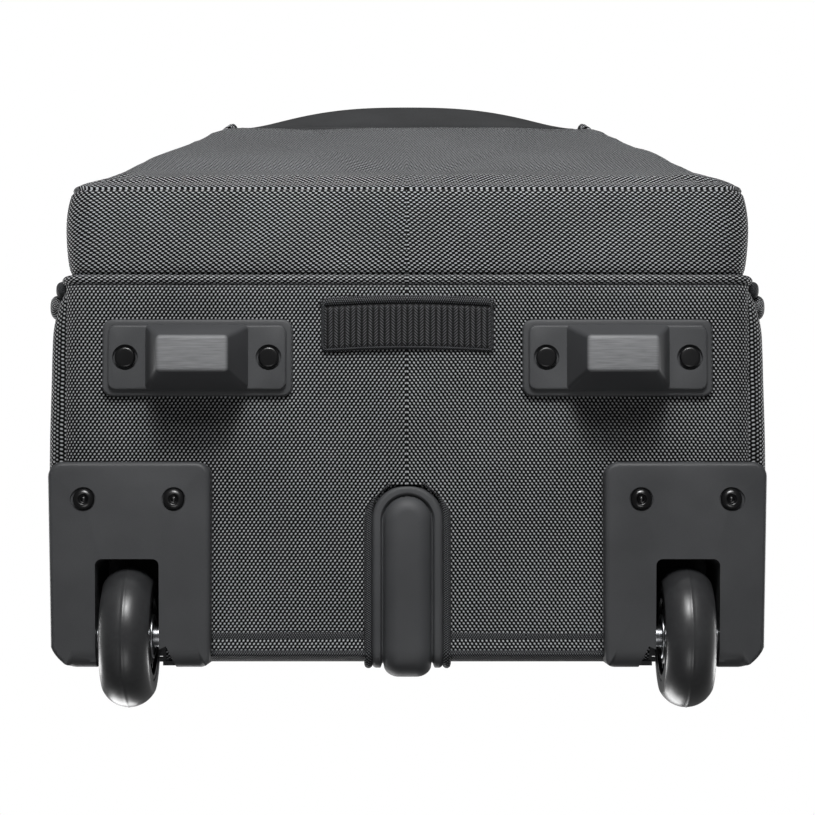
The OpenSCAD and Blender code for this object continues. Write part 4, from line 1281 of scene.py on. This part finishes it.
def foot_rivets():
    heads = []
    cy = (foot_low.y + foot_high.y) / 2
    cx = (foot_low.x + foot_high.x) / 2
    for side in (-1, 1):
        for s in (-1, 1):
            profile = [(0, 1.5), (3.4, 1.42)] + arc_points(4.1, 0.35, 1.05, 80, 0, 6) + [(5.15, -2.2), (0, -2.2)]
            heads.append(facing_down(turned_mesh(profile, 40), side * (cx + s * rivet_reach), cy, z_low - 5.4))
    finish_piece("foot_rivet_heads", merged(heads), "case", oxide_black, ["foot_rivets"])


foot_rivets()


# ---------------------------------------------------------------- skid guard

guard_bend = 6
guard_half = (guard_high.x - guard_low.x) / 2
guard_length = (
    y_back - guard_low.y - guard_bend + guard_bend * math.pi / 2 + guard_high.z - z_low - guard_bend
)


def along_guard(d):
    """Place and outward direction at d millimetres from the guard's front end, round the bottom back edge."""
    r = guard_bend
    run = y_back - guard_low.y - r
    if d < run:
        return guard_low.y + d, z_low, 0, -1
    d -= run
    if d < r * math.pi / 2:
        a = d / r
        return y_back - r + r * math.sin(a), z_low + r - r * math.cos(a), math.sin(a), -math.cos(a)
    d -= r * math.pi / 2
    return y_back, z_low + r + d, 1, 0


def guard_height(x, d, length, half, ridge):
    """Height of the guard's ridge, ring and flange over the cloth."""
    def plan(inset):
        """Distance inside a rounded outline, inset from the flange's edge."""
        r = max(3, half - inset)
        px = max(0, abs(x) - (half - inset - r))
        pd = max(0, abs(d - length / 2) - (length / 2 - inset - r))
        return r - math.hypot(px, pd) if px or pd else r
    edge = plan(0)
    ring = 3.4 * round_rise(edge / 2.4)
    groove = 2.6 * smooth_step((edge - 4.4) / 1.2)
    inside = plan(6.0)
    dome = 0 if inside <= 0 else (ridge + 1.6) * round_rise(inside / 7.5)
    crown = 0 if inside <= 0 else 0.9 * math.sqrt(max(0, 1 - (x / half) ** 2))
    return ring - groove + dome + crown


def skid_guard():
    half, length = guard_half, guard_length
    ridge = z_low - guard_low.z - 3.4

    def place(s, t):
        x = (s - 0.5) * 2 * half
        d = t * length
        # the two ends are rounded like a tongue
        over = max(0, half - min(d, length - d)) / half
        x *= math.sqrt(max(0, 1 - over ** 2)) ** 0.8
        y, z, ny, nz = along_guard(d)
        up = guard_height(x, d, length, half, ridge)
        return x, y + ny * up, z + nz * up

    bm = sheet_mesh(90, 300, place, (2 * half, length), inside=point(0, y_back - 60, z_low + 60))
    piece = finish_piece("skid_guard_moulding", bm, "case", abs_grey, ["skid_guard"])
    thick(piece, 1.6)


skid_guard()


def skid_welt():
    half, length = guard_half + 1.5, guard_length + 3

    def place(s, t):
        """s runs round the guard and t round the cord."""
        w, h, r = 2 * half, length, half - 0.5
        x, d, nx, nd = outline_point(s, w, h, r)
        y, z, ny, nz = along_guard(max(0, d + h / 2 - 1.5))
        y0, z0, _, _ = along_guard(max(0, d + h / 2 - 1.5 + nd))
        ty, tz = (y0 - y, z0 - z) if nd else (0, 0)
        a = 2 * math.pi * t
        radius = 2.1
        out = radius * math.cos(a)
        up = 1.6 + radius * math.sin(a)
        along_y = ty / abs(nd) * nd * out if nd else 0
        along_z = tz / abs(nd) * nd * out if nd else 0
        return x + nx * out, y + ny * up + along_y, z + nz * up + along_z

    bm = sheet_mesh(300, 10, place, (2 * (2 * half + length), 13), closed=True)
    bmesh.ops.recalc_face_normals(bm, faces=bm.faces)
    finish_piece("skid_guard_binding", bm, "case", tape, ["skid_welt"])


skid_welt()


# ---------------------------------------------------------------- grab strap on the bottom

def grab_strap():
    w, h = strap_high.x - strap_low.x, strap_high.y - strap_low.y
    cy = (strap_low.y + strap_high.y) / 2
    inner_w, inner_h = w - 4, h - 6
    ribs = inner_w / 5.7

    def strap_place(s, t):
        x = (s - 0.5) * inner_w
        y = cy + 1.2 + (t - 0.5) * inner_h - 1.6 * (1 - (2 * s - 1) ** 2)
        rib = abs(math.sin(2 * math.pi * ribs * s)) ** 0.6
        edge = near_edge(s, t, inner_w, inner_h, 1.5)
        return x, y, z_low - 1.0 - (0.8 * rib + 0.8) * (1 - edge)

    bm = sheet_mesh(240, 24, strap_place, (inner_w, inner_h), inside=point(0, cy, z_low + 50))
    piece = finish_piece("grab_strap_webbing", bm, "case", strap_webbing, ["grab_strap"])
    thick(piece, 1.2)

    def frame_place(s, t):
        """A flat tape folded round the strap's edge: s runs round it, t across it."""
        x, y, nx, ny = outline_point(s, w - 4, h - 4, 1.5)
        front = 1 if ny < 0 else 0
        wide = 2.0 + 2.6 * front
        out = (t - 0.5) * 2 * wide * 0.5
        arch = 1.6 * (1 - (2 * x / w) ** 2)
        lift = 1.2 * math.sin(math.pi * t) ** 0.5
        return x + nx * out, cy + y - arch + ny * out, z_low - 0.3 - lift - 1.0 * math.sin(math.pi * t)

    bm = sheet_mesh(220, 8, frame_place, (2 * (w + h), 4), closed=True, inside=point(0, cy, z_low + 50))
    piece = finish_piece("grab_strap_tape", bm, "case", tape, ["grab_strap_binding"])
    thick(piece, 1.0)


grab_strap()


# ---------------------------------------------------------------- wheels

def tyre_profile():
    crown = 14
    width = (tyre_high.x - tyre_low.x) / 2
    side_r = wheel_r - crown + math.sqrt(crown ** 2 - width ** 2)
    top = math.degrees(math.asin(width / crown))
    half = arc_points(wheel_r - crown, 0, crown, top, 2.2, 12)
    seam = [(wheel_r + 0.22, 0.0)]
    outer = half + seam + [(r, -z) for r, z in reversed(half)]
    bore = 21.8
    near = [(bore, width - 0.6), (bore + 0.8, width), (side_r - 0.2, width)]
    far = [(side_r - 0.2, -width), (bore + 0.8, -width), (bore, -width + 0.6), (bore, width - 0.6)]
    return near + outer + far


def hub_profile():
    width = (tyre_high.x - tyre_low.x) / 2 - 0.3
    return [
        (21.8, width - 0.4), (21.3, width), (19.2, width), (18.8, width - 0.6), (18.4, 2.2), (14.0, 1.6),
        (13.6, width - 1.2), (13.0, width - 0.4), (11.4, width - 0.4), (11.1, width - 0.9),
        (11.1, -width + 0.9), (11.4, -width + 0.4),
        (13.0, -width + 0.4), (13.6, -width + 1.2), (14.0, -1.6), (18.4, -2.2), (18.8, -width + 0.6), (19.2, -width),
        (21.3, -width), (21.8, -width + 0.4), (21.8, width - 0.4),
    ]


def spokes():
    """Ribs between the hub's rim and its boss."""
    parts = []
    for i in range(6):
        rib = block_mesh((13.2, -1.1, -10.4), (19.2, 1.1, 10.4))
        bmesh.ops.rotate(rib, verts=rib.verts, matrix=Matrix.Rotation(i * math.pi / 3, 3, "Z"))
        parts.append(rib)
    return parts


def bearing_meshes():
    """A bearing at each end of the hub, from the radius and depth of its shield and its two rings."""
    width = (tyre_high.x - tyre_low.x) / 2 - 0.25
    shield = [
        (4.1, 0), (4.1, 0.1), (6.2, 0.15), (6.5, -0.35), (8.9, -0.35), (9.2, 0.15), (10.9, 0.1), (11.0, -0.2),
        (11.0, -7), (4.1, -7), (4.1, 0),
    ]
    return [turned_mesh([(r, end * (width + z)) for r, z in shield], 48) for end in (-1, 1)]


def onto_axle(bm, side):
    bmesh.ops.rotate(bm, verts=bm.verts, matrix=Matrix.Rotation(math.pi / 2, 3, "Y"))
    bmesh.ops.translate(bm, vec=point(side * wheel_mid.x, wheel_mid.y, wheel_mid.z), verts=bm.verts)
    return bm


for name, side in (("right", 1), ("left", -1)):
    body = f"wheel_{name}"
    tyre = onto_axle(turned_mesh(tyre_profile(), 96), side)
    finish_piece(f"tyre_tread_{name}", tyre, body, polyurethane, [f"tyre_{name}"])
    hub = onto_axle(merged([turned_mesh(hub_profile(), 72)] + spokes()), side)
    core = finish_piece(f"hub_core_{name}", hub, body, hub_nylon, [f"hub_{name}"])
    rounded_edges(core, 0.25, 2, 40)
    bearings = onto_axle(merged(bearing_meshes()), side)
    finish_piece(f"bearing_pair_{name}", bearings, body, zinc, [f"bearings_{name}"])


# ---------------------------------------------------------------- soft parts put in their places

carry_pivot_z = (box_mm("handle_anchors")[1].z + box_mm("handle_anchors")[0].z) / 2 + 1.5
carry_handle()
laptop_sleeve()
flat_panel("cover_lining", "cover", "cover_panel", lining_cloth, 0.4, 4.4, 9, lines=2)
flat_panel("organiser_cloth", "cover", "organiser_pocket", lining_cloth, 2.4, 1.2, 4, lines=3)


# ---------------------------------------------------------------- carried-over CAD pieces

def softened(node, body, material, width=0.8, segments=3):
    """A CAD moulding with its edges rounded as a mould leaves them."""
    bm = bmesh.new()
    bm.from_mesh(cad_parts[node].data)
    bmesh.ops.remove_doubles(bm, verts=bm.verts, dist=0.002 * MM)
    bmesh.ops.dissolve_limit(bm, angle_limit=math.radians(0.5), verts=bm.verts, edges=bm.edges)
    piece = finish_piece(f"{node}_moulding", bm, body, material, [node])
    return rounded_edges(piece, width, segments)


def repaint(node, material):
    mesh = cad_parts[node].data
    mesh.materials.clear()
    mesh.materials.append(material)


softened("handle_dock", "case", abs_black, 1.5, 4)
softened("handle_anchors", "case", abs_black, 0.7, 2)
softened("grip_base", "pull_upper", abs_black, 1.2, 3)
softened("grip_shell", "pull_upper", grip_rubber, 2.4, 5)
softened("release_button", "release", button_grey, 1.0, 3)
softened("base_tray", "case", abs_black, 0.5, 2)
softened("tube_sockets", "case", abs_black, 0.5, 2)
for kind in ("main", "pocket"):
    for side in ("left", "right"):
        softened(f"{kind}_slider_{side}", f"{kind}_slide_{side}", gunmetal, 0.45, 2)
        softened(f"{kind}_puller_{side}", f"{kind}_pull_{side}", grip_rubber, 0.4, 2)
for node in ("outer_tubes", "mid_tubes", "inner_tubes"):
    repaint(node, anodised)
for node in ("axles", "axle_spacers", "push_rods"):
    repaint(node, zinc)
repaint("frame_hoop", oxide_black)
repaint("back_board", abs_black)


# ---------------------------------------------------------------- stage, light and camera

def pale_floor():
    """A pale floor that is seen only from above, so that the case can be looked at from below."""
    bm = bmesh.new()
    bmesh.ops.create_grid(bm, x_segments=1, y_segments=1, size=6)
    bmesh.ops.translate(bm, vec=point(0, 0, -0.4), verts=bm.verts)
    mesh = bpy.data.meshes.new("floor")
    bm.to_mesh(mesh)
    bm.free()
    mat, shader = new_material("pale_floor", 0.9)
    shader.inputs["Base Color"].default_value = linear("#868686")
    shader.inputs["Emission Color"].default_value = linear("#f4f4f4")
    shader.inputs["Emission Strength"].default_value = 0.78
    clear = add(mat, "ShaderNodeBsdfTransparent")
    side = add(mat, "ShaderNodeNewGeometry").outputs["Backfacing"]
    mix = add(mat, "ShaderNodeMixShader", {0: side, 1: shader.outputs[0], 2: clear.outputs[0]})
    link(mat, mix, mat.node_tree.nodes["Material Output"], "Surface")
    mesh.materials.append(mat)
    floor = bpy.data.objects.new("floor", mesh)
    bpy.context.scene.collection.objects.link(floor)
    floor.visible_diffuse = False
    floor.visible_glossy = False
    floor.visible_shadow = False


def soft_light(name, place, target, size, power, length=None):
    data = bpy.data.lights.new(name, "AREA")
    data.shape = "RECTANGLE"
    data.size = size
    data.size_y = length or size
    data.energy = power
    light = bpy.data.objects.new(name, data)
    bpy.context.scene.collection.objects.link(light)
    light.location = Vector(place)
    light.rotation_mode = "QUATERNION"
    light.rotation_quaternion = (Vector(target) - Vector(place)).to_track_quat("-Z", "Y")
    return light


def white_surround(ambient):
    """White to the camera, and a gentler white as light."""
    world = bpy.data.worlds.new("surround")
    world.use_nodes = True
    bpy.context.scene.world = world
    tree = world.node_tree
    background = tree.nodes["Background"]
    background.inputs["Color"].default_value = (1, 1, 1, 1)
    path = tree.nodes.new("ShaderNodeLightPath")
    strength = tree.nodes.new("ShaderNodeMapRange")
    tree.links.new(path.outputs["Is Camera Ray"], strength.inputs["Value"])
    strength.inputs[3].default_value = ambient
    strength.inputs[4].default_value = 1.0
    tree.links.new(strength.outputs[0], background.inputs["Strength"])


def pool_light(name, place, target, spread, power):
    """A spot whose light fades from its middle outwards."""
    data = bpy.data.lights.new(name, "SPOT")
    data.energy = power
    data.spot_size = spread
    data.spot_blend = 1.0
    data.shadow_soft_size = 0.12
    light = bpy.data.objects.new(name, data)
    bpy.context.scene.collection.objects.link(light)
    light.location = Vector(place)
    light.rotation_mode = "QUATERNION"
    light.rotation_quaternion = (Vector(target) - Vector(place)).to_track_quat("-Z", "Y")


pale_floor()
white_surround(0.11)
centre = Vector((0, 0, 0.1))
soft_light("key_under_front", (0, -1.50, -1.25), centre, 1.1, 27)
pool_light("pool_under_front", (0, -1.30, -1.15), (0, -0.03, 0.03), math.radians(24), 36)
soft_light("fill_under_back", (0, 1.70, -2.20), centre, 1.2, 9)
soft_light("over_front", (0, -2.6, 1.5), centre, 1.6, 7)
soft_light("over_left", (-2.4, 0.4, 1.8), centre, 1.4, 40)
soft_light("over_right", (2.4, 0.4, 1.8), centre, 1.4, 40)
soft_light("over_back", (-0.8, 2.2, 2.4), centre, 1.6, 40)

bpy.context.scene.view_settings.view_transform = "Standard"

tilt = math.radians(2.9)
distance = 1.150
aim = point(0, y_back - 126.5, z_low)
forward = Vector((0, -math.sin(tilt), math.cos(tilt)))
upward = Vector((0, -math.cos(tilt), -math.sin(tilt)))
camera_data = bpy.data.cameras.new("camera")
camera_data.sensor_width = 36
camera_data.lens = 101.6
camera_data.clip_start = 0.01
camera = bpy.data.objects.new("camera", camera_data)
bpy.context.scene.collection.objects.link(camera)
camera.matrix_world = Matrix.Translation(aim - forward * distance) @ Matrix(
    (forward.cross(upward), upward, -forward)
).transposed().to_4x4()
bpy.context.scene.camera = camera
